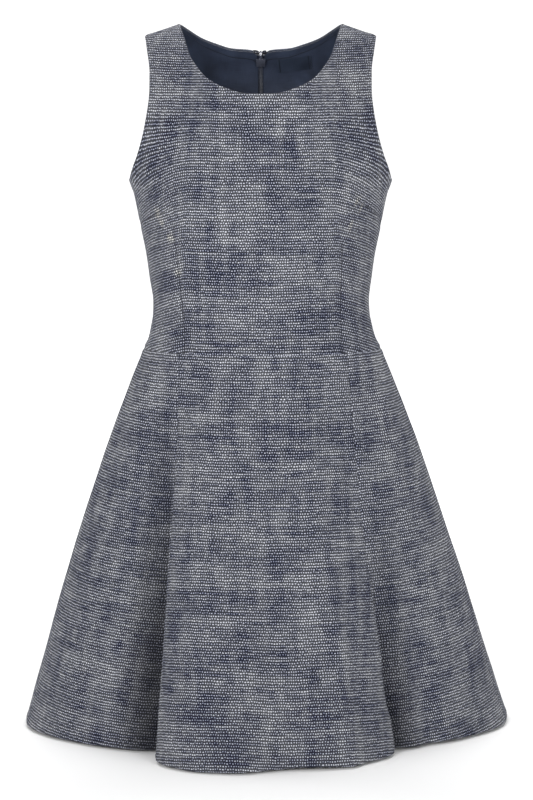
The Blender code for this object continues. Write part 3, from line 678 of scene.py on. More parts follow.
class Panel:
    """One panel of cloth as a grid of places, ready to be shaped and sewn."""

    def __init__(self, place, point_at, columns, rows):
        acrosses = [closer_at_ends(i / columns) for i in range(columns + 1)]
        ups = [closer_at_ends(j / rows) for j in range(rows + 1)]
        places = [[place(across, up) for up in ups] for across in acrosses]
        self.columns, self.rows = columns, rows
        self.turns = np.array([[spot[0] for spot in line] for line in places])
        self.drops = np.array([[spot[1] for spot in line] for line in places])
        self.points = np.array(
            [[tuple(point_at(*spot)) for spot in line] for line in places])
        self.across = lengths_along(self.points, 0)
        self.up = lengths_along(self.points, 1)
        middle = float(self.turns.mean())
        self.normals = np.array(
            [[outward(point_at, *spot, middle) for spot in line] for line in places])
        level = np.zeros(self.turns.shape)
        self.numbers = {
            "crease": level + NO_LINE_NEAR, "hollow": level, "cream": level,
            "dart_side": level}

    def edge_gap(self, edge):
        """Each point's distance from one of the edges l, r, b and t."""
        gaps = {"l": self.across, "r": self.across[-1:] - self.across,
                "b": self.up, "t": self.up[:, -1:] - self.up}
        return gaps[edge]

    def roll_edges(self, edges, roll=SEAM_ROLL):
        relief = np.zeros(self.turns.shape)
        for edge in edges:
            gap = self.edge_gap(edge)
            relief -= roll * np.exp(-(gap / SEAM_ROLL_WIDTH) ** 2)
            full = (gap - EDGE_FULLNESS_AT) / EDGE_FULLNESS_WIDTH
            relief += EDGE_FULLNESS * np.exp(-full * full)
        self.points += relief[..., None] * self.normals

    def pinch_darts(self, darts):
        relief = np.zeros(self.turns.shape)
        for dart in darts:
            line = [bodice_point(turn, drop * MM) for turn, drop in dart.places]
            gap, along = distance_to_line(self.points, line)
            tip = np.linalg.norm(self.points - np.array(tuple(line[-1])), axis=-1)
            left = np.clip((1 - along) / DART_FADE, 0, 1)
            relief -= DART_PINCH * left * np.exp(-(gap / DART_PINCH_WIDTH) ** 2)
            relief -= DART_POINT_DIMPLE * np.exp(-(tip / DART_POINT_SPREAD) ** 2)
            signs = self.side_of(dart)
            closed = np.where(left > 0.02, gap, NO_LINE_NEAR)
            crease = self.numbers["crease"]
            self.numbers["crease"] = np.where(
                closed < np.abs(crease), signs * closed, crease)
        self.points += relief[..., None] * self.normals

    def side_of(self, dart):
        """+1 on one side of a dart and -1 on the other, so its line stays sharp."""
        (turn_a, drop_a), (turn_b, drop_b) = dart.places[0], dart.places[-1]
        if abs(turn_a - turn_b) > LEVEL_DART_TURN:
            limit = np.vectorize(line_across(dart))(self.turns)
            return np.where(self.drops > limit * MM, 1.0, -1.0)
        line = Smooth(*zip(*sorted((drop, turn) for turn, drop in dart.places)))
        limit = np.vectorize(line)(self.drops / MM)
        return np.where(self.turns > limit, 1.0, -1.0)

    def paint_shade_in_hollows(self):
        """Painted shade: how deep each place lies behind a crest, from 0 to 1, deepest at the hem.
        """
        for hollow in PAINTED_SHADES:
            first, deep_from, deep_to, last = hollow.turns
            rise = np.clip((self.turns - first) / (deep_from - first), 0, 1)
            fall = np.clip((last - self.turns) / (last - deep_to), 0, 1)
            shape = np.minimum(rise, fall)
            shape = shape * shape * (3 - 2 * shape)
            down = (self.drops / MM - hollow.start) / (hollow.full - hollow.start)
            depth = hollow.depth * shape * np.clip(down, 0, 1) ** PAINTED_SHADE_POWER
            self.numbers["hollow"] = np.maximum(self.numbers["hollow"], depth)

    def scatter_cream(self, spots):
        for turn, drop, size in spots:
            spot = np.array(tuple(bodice_point(turn, drop * MM)))
            gap = np.linalg.norm(self.points - spot, axis=-1)
            self.numbers["cream"] = np.maximum(
                self.numbers["cream"], np.exp(-(gap / (size * MM)) ** 4))

    def lay_weave(self, across, up, shift, up_above=None):
        """Where each point is on the flat cloth, in metres: along the rows and up.

        Cloth above a dart may be laid otherwise than the cloth below it."""
        above = up if up_above is None else up_above
        self.weave = np.stack(
            [across + shift[0], up + shift[1], above + shift[1]], axis=-1)

    def climb(self):
        """Height of each place. Where the cloth leans back over the shoulders the
        length of its slope counts instead, so the rows there keep their pitch."""
        steps = np.diff(self.points, axis=1)
        rise = np.abs(steps[..., 2])
        level = self.normals[:, :-1, :2]
        level = level / np.maximum(np.linalg.norm(level, axis=-1, keepdims=True), 1e-6)
        lean = np.abs((steps[..., :2] * level).sum(axis=-1))
        near_top = np.clip((SHOULDER_END - self.drops[:, :-1]) / SHOULDER_FADE, 0, 1)
        more = near_top * (np.hypot(rise, lean) - rise)
        start = np.zeros_like(more[:, :1])
        return np.concatenate([start, np.cumsum(more, axis=1)], axis=1) - self.drops

    def centred_across(self, column_index):
        return self.across - self.across[column_index][None, :]

    def shape(self, creases, point_at):
        relief = crease_relief(self.points, creases, point_at)
        relief += wander_relief(self.points)
        self.points += relief[..., None] * self.normals


def face_outwards(mesh_maker):
    bmesh.ops.recalc_face_normals(mesh_maker, faces=mesh_maker.faces[:])
    if mesh_maker.calc_volume(signed=True) < 0:
        bmesh.ops.reverse_faces(mesh_maker, faces=mesh_maker.faces[:])


def add_piece(name, mesh_maker, materials, sharp_degrees=38.0):
    mesh = bpy.data.meshes.new(name)
    mesh_maker.to_mesh(mesh)
    mesh_maker.free()
    mesh.shade_smooth()
    mesh.set_sharp_from_angle(angle=math.radians(sharp_degrees))
    piece = bpy.data.objects.new(name, mesh)
    for material in materials:
        mesh.materials.append(material)
    bpy.context.scene.collection.objects.link(piece)
    return piece


def sew(name, panel, wall, materials, inner_lift=None, rim=0):
    """A closed shell of cloth from a panel: outer faces first, inner faces second."""
    mesh_maker = bmesh.new()
    bmesh.ops.create_grid(
        mesh_maker, x_segments=panel.columns, y_segments=panel.rows, size=0.5)
    spot = mesh_maker.verts.layers.int.new("spot")
    weave = mesh_maker.verts.layers.float_vector.new("weave")
    layers = {key: mesh_maker.verts.layers.float.new(key) for key in panel.numbers}
    for corner in mesh_maker.verts:
        i = round((corner.co.x + 0.5) * panel.columns)
        j = round((corner.co.y + 0.5) * panel.rows)
        corner[spot] = i * (panel.rows + 1) + j
        corner[weave] = panel.weave[i, j]
        for key, layer in layers.items():
            corner[layer] = panel.numbers[key][i, j]
        corner.co = panel.points[i, j]
    outer = mesh_maker.faces[:]
    made = bmesh.ops.extrude_face_region(mesh_maker, geom=outer, use_keep_orig=True)
    inner_faces = [item for item in made["geom"] if isinstance(item, bmesh.types.BMFace)]
    shown = set(outer)
    for face in mesh_maker.faces:
        face.material_index = 0 if face in shown else rim
    for face in inner_faces:
        face.material_index = 1
    for corner in [item for item in made["geom"] if isinstance(item, bmesh.types.BMVert)]:
        i, j = divmod(corner[spot], panel.rows + 1)
        depth = wall + (inner_lift[i, j] if inner_lift is not None else 0.0)
        corner.co -= Vector(panel.normals[i, j]) * depth
    mesh_maker.verts.layers.int.remove(spot)
    face_outwards(mesh_maker)
    return add_piece(name, mesh_maker, materials)


# ---------------------------------------------------------------------------
# Materials
# ---------------------------------------------------------------------------


class Value:
    """A number on its way through a material, so that shader maths reads as sums."""

    def __init__(self, maker, socket):
        self.maker = maker
        self.socket = socket

    def maths(self, operation, *values):
        return self.maker.add("ShaderNodeMath", {"operation": operation}, values)

    def __add__(self, other):
        return self.maths("ADD", self, other)

    def __radd__(self, other):
        return self.maths("ADD", other, self)

    def __sub__(self, other):
        return self.maths("SUBTRACT", self, other)

    def __rsub__(self, other):
        return self.maths("SUBTRACT", other, self)

    def __mul__(self, other):
        return self.maths("MULTIPLY", self, other)

    def __rmul__(self, other):
        return self.maths("MULTIPLY", other, self)

    def __truediv__(self, other):
        return self.maths("DIVIDE", self, other)

    def floor(self):
        return self.maths("FLOOR", self)

    def fraction(self):
        return self.maths("FRACT", self)

    def size(self):
        return self.maths("ABSOLUTE", self)

    def root(self):
        return self.maths("SQRT", self)

    def clamped(self):
        return self.maker.add("ShaderNodeClamp", {}, [self, 0.0, 1.0])

    def between(self, low, high):
        """0 at low and 1 at high, smooth in between."""
        return self.maker.add(
            "ShaderNodeMapRange", {"interpolation_type": "SMOOTHSTEP"}, [self, low, high])


class Finish:
    """Makes one procedural material."""

    def __init__(self, name):
        self.material = bpy.data.materials.new(name)
        self.material.use_nodes = True
        self.tree = self.material.node_tree
        self.shader = self.tree.nodes["Principled BSDF"]

    def add(self, kind, settings, values, output=0):
        """One node: its settings first, then the values or links of its sockets."""
        node = self.tree.nodes.new(kind)
        for name, setting in settings.items():
            setattr(node, name, setting)
        pairs = values.items() if isinstance(values, dict) else enumerate(values)
        for key, value in pairs:
            if isinstance(value, Value):
                self.tree.links.new(value.socket, node.inputs[key])
            else:
                node.inputs[key].default_value = value
        return Value(self, node.outputs[output])

    def place(self):
        """Where a point lies in the piece's own space: its x, y and z."""
        return self.split(self.add("ShaderNodeTexCoord", {}, [], "Object"))

    def attribute(self, name):
        return self.add("ShaderNodeAttribute", {"attribute_name": name}, [], "Vector")

    def number(self, name):
        return self.add("ShaderNodeAttribute", {"attribute_name": name}, [], "Fac")

    def split(self, vector):
        node = self.add("ShaderNodeSeparateXYZ", {}, [vector]).socket.node
        return [Value(self, node.outputs[k]) for k in range(3)]

    def vector(self, x, y, z=0.0):
        return self.add("ShaderNodeCombineXYZ", {}, [x, y, z])

    def noise(self, x, y, z=0.0, detail=2.0, roughness=0.5):
        return self.add(
            "ShaderNodeTexNoise", {"noise_dimensions": "3D"},
            {"Vector": self.vector(x, y, z), "Scale": 1.0, "Detail": detail,
             "Roughness": roughness})

    def speckle(self, x, y, z=0.0):
        return self.add(
            "ShaderNodeTexWhiteNoise", {"noise_dimensions": "3D"},
            {"Vector": self.vector(x, y, z)})

    def blend(self, share, first, second):
        return self.add(
            "ShaderNodeMix", {"data_type": "RGBA"},
            {"Factor": share, 6: first, 7: second}, 2)

    def darker(self, tone, share):
        return self.add(
            "ShaderNodeMix", {"data_type": "RGBA", "blend_type": "MULTIPLY"},
            {"Factor": 1.0, 6: tone, 7: (share, share, share * 1.04, 1.0)}, 2)

    def bump(self, height, distance, strength=1.0):
        return self.add(
            "ShaderNodeBump", {},
            {"Strength": strength, "Distance": distance, "Height": height})

    def surface(self, **sockets):
        for name, value in sockets.items():
            socket = self.shader.inputs[name.replace("_", " ")]
            if isinstance(value, Value):
                self.tree.links.new(value.socket, socket)
            else:
                socket.default_value = value
        return self.material


def opaque(shade, share=1.0):
    """A shade as a colour with alpha, darkened by a share below 1 or made paler above it."""
    return tuple(min(1.0, share * part) for part in shade) + (1.0,)


def tweed_finish(name, sizes, shades):
    """Navy and off-white tweed: rows of short pale slubs over dark, cloudy yarns, with painted
    shade behind the folds' crests.
    """
    make = Finish(name)
    across, below_dart, above_dart = make.split(make.attribute("weave"))
    over = make.number("dart_side").between(-0.00005, 0.00005)
    up = below_dart + (above_dart - below_dart) * over
    drift = make.noise(across * 16, up * 16, 1.0, 1.0) - 0.5
    drift_up = make.noise(across * 21, up * 12, 4.0, 1.0) - 0.5
    lines = up / sizes.row_pitch + drift_up * 0.6
    row = lines.floor()
    in_row = lines.fraction() - 0.5
    odd = (row * 0.5).fraction()
    slip = make.speckle(row, 3.0) * 0.5
    jostle = make.noise(across * 75, row * 0.8, 1.5, 1.0) - 0.5
    slubs = across / sizes.slub_pitch + odd + slip + drift * 1.2 + jostle * 1.5
    slub = slubs.floor()
    in_slub = slubs.fraction() - 0.5

    weft = make.noise(across * 14, row * 0.22, 7.0, 2.0, 0.6) - 0.5
    yarn = make.noise(across * 24, row * 5.3, 9.0, 2.0, 0.6) - 0.5
    warp = make.noise(slub * 0.20, up * 13, 13.0, 2.0, 0.6) - 0.5
    cloud = make.noise(across * 11, up * 19, 17.0, 3.0, 0.65) - 0.5
    joined = make.noise(across * 30, row * 2.9, 21.0, 1.0).between(0.48, 0.66)
    own = make.speckle(slub, row, 5.0) - 0.5
    cream = make.number("cream").clamped()
    pale = (0.46 + weft * 0.65 + yarn * 1.25 + warp * 0.85 + cloud * 1.15
            + cream * 0.4).clamped()

    away = in_slub / (0.28 + pale * 0.07 + own * 0.14 + joined * 0.08)
    off_line = (in_row + own * 0.24) / (0.245 + pale * 0.05 - joined * 0.03)
    reach = (away * away + off_line * off_line).root()
    dash = 1 - reach.between(0.55, 1.10)
    twist = make.noise(across * 1500, up * 900, row * 3.7, 2.0, 0.6)
    fuzz = make.noise(across * 2600, up * 2600, 2.0, 2.0, 0.7)

    ground = make.blend(
        (pale * 1.1 - 0.1 + warp * 0.7 + (fuzz - 0.5) * 0.6).clamped(),
        opaque(shades.yarn_navy), opaque(shades.yarn_grey))
    slub_colour = make.blend(
        (pale * 1.15 + own * 0.45 + (twist - 0.5) * 0.4).clamped(),
        opaque(shades.slub_blue), opaque(shades.slub_white))
    slub_colour = make.blend(cream * 0.75, slub_colour, opaque(shades.slub_cream))
    cloth_colour = make.blend(dash, ground, slub_colour)
    dart = make.number("crease").size().between(0.0002, 0.0016)
    sewn = make.blend(0.45 + dart * 0.55, opaque(shades.seam_shadow), cloth_colour)
    # Painted shade: behind the folds' crests the cloth is painted darker, down to 0.28 of its
    # colour.
    hollow = make.number("hollow").clamped()
    shaded = make.blend(hollow, sewn, make.darker(sewn, 0.28))

    height = dash * 0.8 + twist * 0.22 + fuzz * 0.12 - (1 - dart) * 1.2
    return make.surface(
        Base_Color=shaded, Roughness=0.86 - dash * 0.08,
        Normal=make.bump(height, 0.00075, 0.55),
        Specular_IOR_Level=0.2, Sheen_Weight=0.03, Sheen_Roughness=0.5)


def lining_finish(name, shade, roughness, rib=0.00042):
    """Plain close-woven cloth with a faint sheen, with painted shade and light on its folds."""
    make = Finish(name)
    across, up, _ = make.split(make.attribute("weave"))
    thread = make.noise(across / rib * 0.5, up * 60, 3.0, 1.0)
    cross = make.noise(across * 60, up / rib * 0.5, 5.0, 1.0)
    cloud = make.noise(across * 26, up * 26, 8.0, 2.0)
    # Painted shade and light: a fold's trough is painted darker and its ridge lighter.
    fold = make.number("hollow")
    light = (0.34 + (thread - 0.5) * 0.5 + (cross - 0.5) * 0.5 + (cloud - 0.5) * 1.6
             + fold * 0.4).clamped()
    cloth_colour = make.blend(light, opaque(shade, 0.72), opaque(shade, 1.75))
    crease = make.number("crease").size().between(0.0002, 0.0010)
    sewn = make.blend(crease, opaque(shade, 0.35), cloth_colour)
    height = thread * 0.5 + cross * 0.5 + crease * 1.5
    return make.surface(
        Base_Color=sewn, Roughness=roughness + (cloud - 0.5) * 0.2,
        Normal=make.bump(height, 0.00022, 0.5),
        Specular_IOR_Level=0.4, Sheen_Weight=0.18, Sheen_Roughness=0.35)


def metal_finish(name, shade):
    """Dull enamel over cast metal, with a little wear in scattered patches."""
    make = Finish(name)
    x, y, z = make.place()
    grain = make.noise(x * 900, y * 900, z * 900, 3.0, 0.6)
    worn = make.noise(x * 220, y * 220, z * 220, 2.0).between(0.52, 0.68)
    return make.surface(
        Base_Color=make.blend(worn * 0.6, opaque(shade), opaque(shade, 1.9)),
        Metallic=0.35 + worn * 0.4, Roughness=0.36 + (grain - 0.5) * 0.22,
        Normal=make.bump(grain, 0.00008, 0.4))


def coil_finish(name, shade):
    """Smooth plastic of the zip's teeth, streaked along each tooth."""
    make = Finish(name)
    x, y, z = make.place()
    streak = make.noise(x * 1200, y * 300, z * 300, 2.0)
    return make.surface(
        Base_Color=make.blend(streak, opaque(shade, 0.5), opaque(shade)),
        Roughness=0.45 + (streak - 0.5) * 0.2,
        Normal=make.bump(streak, 0.00006, 0.4))


def floor_finish(name, brightness):
    """White paper that glows far from the dress, so that it runs out into white."""
    make = Finish(name)
    x, y, _ = make.place()
    paper = make.noise(x * 3, y * 3, 0.0, 2.0)
    near = 0.88 + (paper - 0.5) * 0.02
    far = (x * x + y * y).root().between(FLOOR_GLOW_FROM, FLOOR_GLOW_FULL)
    glow = far * brightness
    return make.surface(
        Base_Color=make.vector(near, near, near), Roughness=0.9,
        Specular_IOR_Level=0.1, Emission_Color=make.vector(glow, glow, glow),
        Emission_Strength=1.0)


# ---------------------------------------------------------------------------
# Settings
# ---------------------------------------------------------------------------


class DressSizes(bpy.types.PropertyGroup):
    tweed_wall: bpy.props.FloatProperty(
        name="Tweed", description="Thickness of the outer cloth",
        default=1.8 * MM, unit="LENGTH")
    row_pitch: bpy.props.FloatProperty(
        name="Row pitch", description="Distance between the rows of slubs",
        default=3.3 * MM, unit="LENGTH")
    slub_pitch: bpy.props.FloatProperty(
        name="Slub pitch", description="Distance between the slubs of a row",
        default=2.92 * MM, unit="LENGTH")
    hem_allowance: bpy.props.FloatProperty(
        name="Hem", description="Height of the cloth turned up inside the hem",
        default=32 * MM, unit="LENGTH")


def shade_setting(name, description, display):
    """A colour that a user can pick. Its default is a display colour such as 2c3248."""
    parts = [int(display[k:k + 2], 16) / 255 for k in (0, 2, 4)]
    return bpy.props.FloatVectorProperty(
        name=name, description=description, subtype="COLOR", size=3, min=0.0, max=1.0,
        default=[
            part / 12.92 if part <= 0.04045 else ((part + 0.055) / 1.055) ** 2.4
            for part in parts])


class DressShades(bpy.types.PropertyGroup):
    yarn_navy: shade_setting("Dark yarn", "Darkest yarn", "0f1221")
    yarn_grey: shade_setting("Grey yarn", "Palest of the yarns under the slubs", "454649")
    slub_blue: shade_setting("Blue slub", "Slubs where the cloth is dark", "7d8297")
    slub_white: shade_setting("White slub", "Slubs where the cloth is pale", "babcc4")
    slub_cream: shade_setting(
        "Cream slub", "Thick slubs at the points of the bust darts", "d9d5c6")
    seam_shadow: shade_setting("Dart line", "Depth of a dart's sewn line", "14151f")
    lining: shade_setting("Lining", "Navy lining inside the upper back", "272e3e")
    inside: shade_setting("Inside", "Lining of the front and the skirt", "2d3446")
    label: shade_setting("Label", "Woven label, left bare", "252c3a")
    tape: shade_setting("Zip tape", "Tape and teeth of the zip", "222837")
    slider: shade_setting("Zip slider", "Slider and its pull tab", "464955")


class StudioLight(bpy.types.PropertyGroup):
    sky: bpy.props.FloatProperty(
        name="Sky", description="Strength of the light from all round", default=0.36)
    key_power: bpy.props.FloatProperty(
        name="Key", description="Power of the main soft light", default=74.0, unit="POWER")
    fill_power: bpy.props.FloatProperty(
        name="Fill", description="Power of the soft light on the other side",
        default=44.0, unit="POWER")
    top_power: bpy.props.FloatProperty(
        name="Top", description="Power of the long soft light above and behind the dress",
        default=76.0, unit="POWER")
    floor_glow: bpy.props.FloatProperty(
        name="Floor", description="Light of the pale floor far from the dress", default=0.62)


def sizes():
    return bpy.context.scene.dress_sizes


def shades():
    return bpy.context.scene.dress_shades


def shared_finish(name, make, *settings):
    """A material by its name, made when it is first asked for."""
    return bpy.data.materials.get(name) or make(name, *settings)


def cloth_finishes():
    """The tweed and the plain navy behind it."""
    return (
        shared_finish("slubbed_tweed", tweed_finish, sizes(), shades()),
        shared_finish("inside_navy", lining_finish, shades().inside, 0.62))


def declare(piece, body, node):
    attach(piece, body)
    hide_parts(node)


# ---------------------------------------------------------------------------
# Pieces
# ---------------------------------------------------------------------------


def rows_under_darts(away):
    """How far the rows run up towards the sides under the bust darts, in metres."""
    return UNDER_DART_CLIMB * np.clip(away - UNDER_DART_FROM, 0, None)


def rows_over_darts(panel, away):
    """The same over the bust darts, from the height of the armholes down."""
    how_low = np.clip((panel.drops - OVER_DART_TOP) / OVER_DART_FADE, 0, 1)
    past = np.clip(away - OVER_DART_FROM, 0, None)
    bend = np.clip(past, 0, OVER_DART_BEND)
    return OVER_DART_CLIMB * how_low * (past - bend + bend * bend / (2 * OVER_DART_BEND))


def bust_dart_drops(turns):
    """The drop of the bust darts' lines, which run on level between their points."""
    left, right = BUST_DARTS
    on_left = np.vectorize(line_across(left))(np.minimum(turns, left.places[-1][0]))
    on_right = np.vectorize(line_across(right))(np.maximum(turns, right.places[-1][0]))
    return np.where(turns < 0, on_left, on_right) * MM


class DRESS_OT_bodice_front(bpy.types.Operator):
    """Front of the bodice, with its waist and bust darts"""

    bl_idname = "dress.bodice_front"
    bl_label = "Bodice front"

    def execute(self, context):
        panel = Panel(front_place, bodice_point, 2 * HALF_BODICE_COLUMNS, BODICE_ROWS)
        from_centre = panel.centred_across(HALF_BODICE_COLUMNS)
        away = np.abs(from_centre)
        panel.numbers["dart_side"] = bust_dart_drops(panel.turns) - panel.drops
        panel.lay_weave(
            from_centre, rows_under_darts(away) + panel.climb(), (0.3, 1.1),
            rows_over_darts(panel, away) + panel.climb())
        panel.scatter_cream(CREAM_SLUBS)
        panel.pinch_darts(WAIST_DARTS + BUST_DARTS)
        panel.shape(BODICE_CREASES, bodice_point)
        panel.roll_edges("lrbt")
        piece = sew("bodice_front_cloth", panel, sizes().tweed_wall, cloth_finishes())
        declare(piece, "dress", "bodice_front")
        return {"FINISHED"}


class DRESS_OT_bodice_back(bpy.types.Operator):
    """The two halves of the bodice's back, either side of the zip"""

    bl_idname = "dress.bodice_back"
    bl_label = "Bodice back"

    def execute(self, context):
        for side, place, dart, shift in (
                ("right", back_right_place, BACK_DARTS[0], (2.2, 0.7)),
                ("left", back_left_place, BACK_DARTS[1], (3.4, 1.9))):
            panel = Panel(place, bodice_point, HALF_BODICE_COLUMNS, BODICE_ROWS)
            from_centre = panel.centred_across(-1 if side == "right" else 0)
            away = np.abs(from_centre)
            more = BACK_CLIMB * np.clip(away - BACK_CLIMB_FROM, 0, None)
            panel.lay_weave(from_centre, panel.climb() + more, shift)
            panel.pinch_darts([dart])
            panel.shape(BODICE_CREASES, bodice_point)
            panel.roll_edges("lrbt")
            name = "bodice_back_" + side
            piece = sew(
                name + "_cloth", panel, sizes().tweed_wall, cloth_finishes(), rim=1)
            declare(piece, "dress", name)
        return {"FINISHED"}


class DRESS_OT_skirt(bpy.types.Operator):
    """The seven gores of the skirt, in their folds, with the hem turned up inside"""

    bl_idname = "dress.skirt"
    bl_label = "Skirt"

    def execute(self, context):
        for k, gore in enumerate(GORES):

            def place(across, up, gore=gore):
                turn = mix(gore.turn_from, gore.turn_to, across)
                return turn, mix(HEM_DROP, WAIST_DROP, up)

            panel = Panel(place, skirt_point, gore.columns, GORE_ROWS)
            from_centre = panel.centred_across(gore.columns // 2)
            from_waist = panel.up - panel.up[:, -1:]
            panel.lay_weave(from_centre, from_waist, (5.1 + 1.37 * k, 4.3 + 0.61 * k))
            panel.paint_shade_in_hollows()
            panel.shape(SKIRT_CREASES, skirt_point)
            panel.roll_edges("lrt")
            panel.roll_edges("b", 0.5 * SEAM_ROLL)
            allowance = sizes().hem_allowance
            turned = 1 / (1 + np.exp((panel.up - allowance) / HEM_FOLD_SOFTNESS))
            piece = sew(
                gore.name + "_cloth", panel, sizes().tweed_wall, cloth_finishes(),
                inner_lift=HEM_FOLD * turned)
            declare(piece, "dress", gore.name)
        return {"FINISHED"}


class DRESS_OT_lining(bpy.types.Operator):
    """The navy lining inside the upper back, with its facing seam"""

    bl_idname = "dress.lining"
    bl_label = "Lining"

    def execute(self, context):
        navy = shared_finish("lining_navy", lining_finish, shades().lining, 0.52)
        for side, base in (("right", back_right_place), ("left", back_left_place)):

            def place(across, up, base=base, side=side):
                row = mix(SIDE_SHARE, 1 - LINING_INSET / SOLID_ROWS, up)
                edge = LINING_INSET / SOLID_COLUMNS
                centre = LINING_CENTRE + LINING_CENTRE_SPREAD * (row - SIDE_SHARE)
                if side == "left":
                    return base(mix(centre, 1 - edge, across), row)
                return base(mix(edge, 1 - centre, across), row)

            panel = Panel(place, bodice_point, LINING_COLUMNS, LINING_ROWS)
            inwards = LINING_DEPTH - LINING_LIFT
            seam = panel.edge_gap("t") - FACING_WIDTH
            panel.numbers["crease"] = np.where(
                np.abs(seam) < FACING_SEAM_WIDTH, seam, NO_LINE_NEAR)
            facing = FACING_STEP / (1 + np.exp(seam / FACING_STEP_SOFTNESS))
            panel.shape([], bodice_point)
            relief = crease_relief(panel.points, LINING_CREASES, bodice_point)
            # Painted shade and light on the lining's folds, from their rise: darker in troughs,
            # lighter on ridges.
            panel.numbers["hollow"] = relief / LINING_FOLD_SHADE
            panel.points += (relief - inwards - facing)[..., None] * panel.normals
            panel.lay_weave(panel.across, panel.up, (0.0, 0.0))
            name = "lining_back_" + side
            piece = sew(name + "_cloth", panel, LINING_WALL, (navy, navy))
            declare(piece, "dress", name)
        return {"FINISHED"}


def back_place(sideways, drop):
    """Turn of the place at a distance from the centre back, along the cloth."""
    if drop < WAIST_DROP:
        return 180 - math.degrees(math.asin(sideways / half_width_at(drop)))
    near, far = 0.0, 40.0
    centre = skirt_point(180, drop)
    for _ in range(24):
        middle = (near + far) / 2
        spot = skirt_point(180 - math.copysign(middle, sideways), drop)
        if (spot - centre).length < abs(sideways):
            near = middle
        else:
            far = middle
    return 180 - math.copysign(near, sideways)


def tape_panel(left_x, right_x):
    """A strip of tape down the inside of the centre back."""

    def place(across, up):
        drop = mix(ZIP_END_DROP, TAPE_TOP_DROP, up)
        return back_place(mix(right_x, left_x, across), drop), drop

    panel = Panel(place, dress_point, TAPE_COLUMNS, TAPE_ROWS)
    panel.points -= TAPE_DEPTH * panel.normals
    panel.lay_weave(panel.across, panel.up, (0.0, 0.0))
    return panel


class DRESS_OT_label(bpy.types.Operator):
    """The bare woven label inside the back neck"""

    bl_idname = "dress.neck_label"
    bl_label = "Label"

    def execute(self, context):
        satin = shared_finish("label_satin", lining_finish, shades().label, 0.42, 0.0003)

        def place(across, up):
            sideways = (0.5 - across) * LABEL_WIDTH
            downwards = (0.5 - up) * LABEL_HEIGHT
            level, lean = math.cos(LABEL_TILT), math.sin(LABEL_TILT)
            x = LABEL_X + sideways * level + downwards * lean
            drop = LABEL_DROP - sideways * lean + downwards * level
            return back_place(x, drop), drop

        panel = Panel(place, bodice_point, LABEL_COLUMNS, LABEL_ROWS)
        end = np.minimum(panel.edge_gap("l"), panel.edge_gap("r"))
        panel.numbers["crease"] = np.where(
            end > LABEL_BARE_END, end - LABEL_STITCHES, NO_LINE_NEAR)
        bulge = LABEL_END_BULGE * np.exp(-((end - LABEL_BULGE_AT) / LABEL_BULGE_WIDTH) ** 2)
        panel.points -= (LABEL_DEPTH + bulge)[..., None] * panel.normals
        panel.lay_weave(panel.across, panel.up, (0.0, 0.0))
        piece = sew("neck_label_cloth", panel, LABEL_WALL, (satin, satin))
        declare(piece, "dress", "neck_label")
        return {"FINISHED"}


class DRESS_OT_zip(bpy.types.Operator):
    """The zip's two tapes and its closed teeth"""

    bl_idname = "dress.zip"
    bl_label = "Zip"

    def execute(self, context):
        woven = shared_finish("zip_tape_weave", lining_finish, shades().tape, 0.7)
        outer = TAPE_FROM_CENTRE + TAPE_WIDTH
        for side, left_x, right_x in (
                ("left", -outer, -TAPE_FROM_CENTRE), ("right", TAPE_FROM_CENTRE, outer)):
            panel = tape_panel(left_x, right_x)
            name = "zip_tape_" + side
            piece = sew(name + "_cloth", panel, TAPE_WALL, (woven, woven))
            declare(piece, "dress", name)
        self.teeth()
        return {"FINISHED"}

    def teeth(self):
        """Small bars hooked into each other, alternately from either side."""
        mesh_maker = bmesh.new()
        sideways = Vector((1, 0, 0))
        drop = CHAIN_TOP_DROP + CHAIN_TOP_GAP
        side = 1
        while drop < ZIP_END_DROP - CHAIN_END_GAP:
            spot = dress_point(180, drop)
            down = (dress_point(180, drop + MM) - spot).normalized()
            out = sideways.cross(down).normalized()
            turn = Matrix((sideways, down, out)).transposed().to_4x4()
            centre = spot - out * (CHAIN_DEPTH + CHAIN_HALF_WALL)
            centre += sideways * side * TOOTH_SHIFT
            lie = Matrix.Rotation(math.radians(90 + side * TOOTH_LEAN), 4, "Y")
            bmesh.ops.create_cone(
                mesh_maker, cap_ends=True, segments=8, radius1=TOOTH_RADIUS,
                radius2=TOOTH_END_RADIUS if side > 0 else TOOTH_RADIUS, depth=TOOTH_LENGTH,
                matrix=Matrix.Translation(centre) @ turn @ lie)
            side = -side
            drop += TOOTH_PITCH / 2
        face_outwards(mesh_maker)
        coil = shared_finish("zip_coil", coil_finish, shades().tape)
        piece = add_piece("zip_teeth", mesh_maker, [coil])
        declare(piece, "dress", "zip_chain")


def softened_copy(node, name, material, width):
    """A hard CAD piece again, with its edges rounded over."""
    mesh_maker = bmesh.new()
    mesh_maker.from_mesh(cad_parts[node].data)
    bmesh.ops.remove_doubles(mesh_maker, verts=mesh_maker.verts[:], dist=1e-6)
    bmesh.ops.dissolve_limit(
        mesh_maker, angle_limit=math.radians(1.5), verts=mesh_maker.verts[:],
        edges=mesh_maker.edges[:])
    corners = [
        edge for edge in mesh_maker.edges if edge.calc_face_angle(0) > math.radians(50)]
    bmesh.ops.bevel(
        mesh_maker, geom=corners, offset=width, segments=2, profile=0.5, affect="EDGES",
        material=-1, clamp_overlap=True)
    face_outwards(mesh_maker)
    return add_piece(name, mesh_maker, [material])


class DRESS_OT_slider(bpy.types.Operator):
    """The zip's slider and its pull tab"""

    bl_idname = "dress.slider"
    bl_label = "Slider"

    def execute(self, context):
        enamel = shared_finish("zip_enamel", metal_finish, shades().slider)
        for node, name, body in (
                ("zip_slider", "slider", "dress"), ("zip_pull_tab", "pull_tab", "pull_tab")):
            piece = softened_copy(node, name, enamel, SLIDER_ROUNDING)
            declare(piece, body, node)
        return {"FINISHED"}


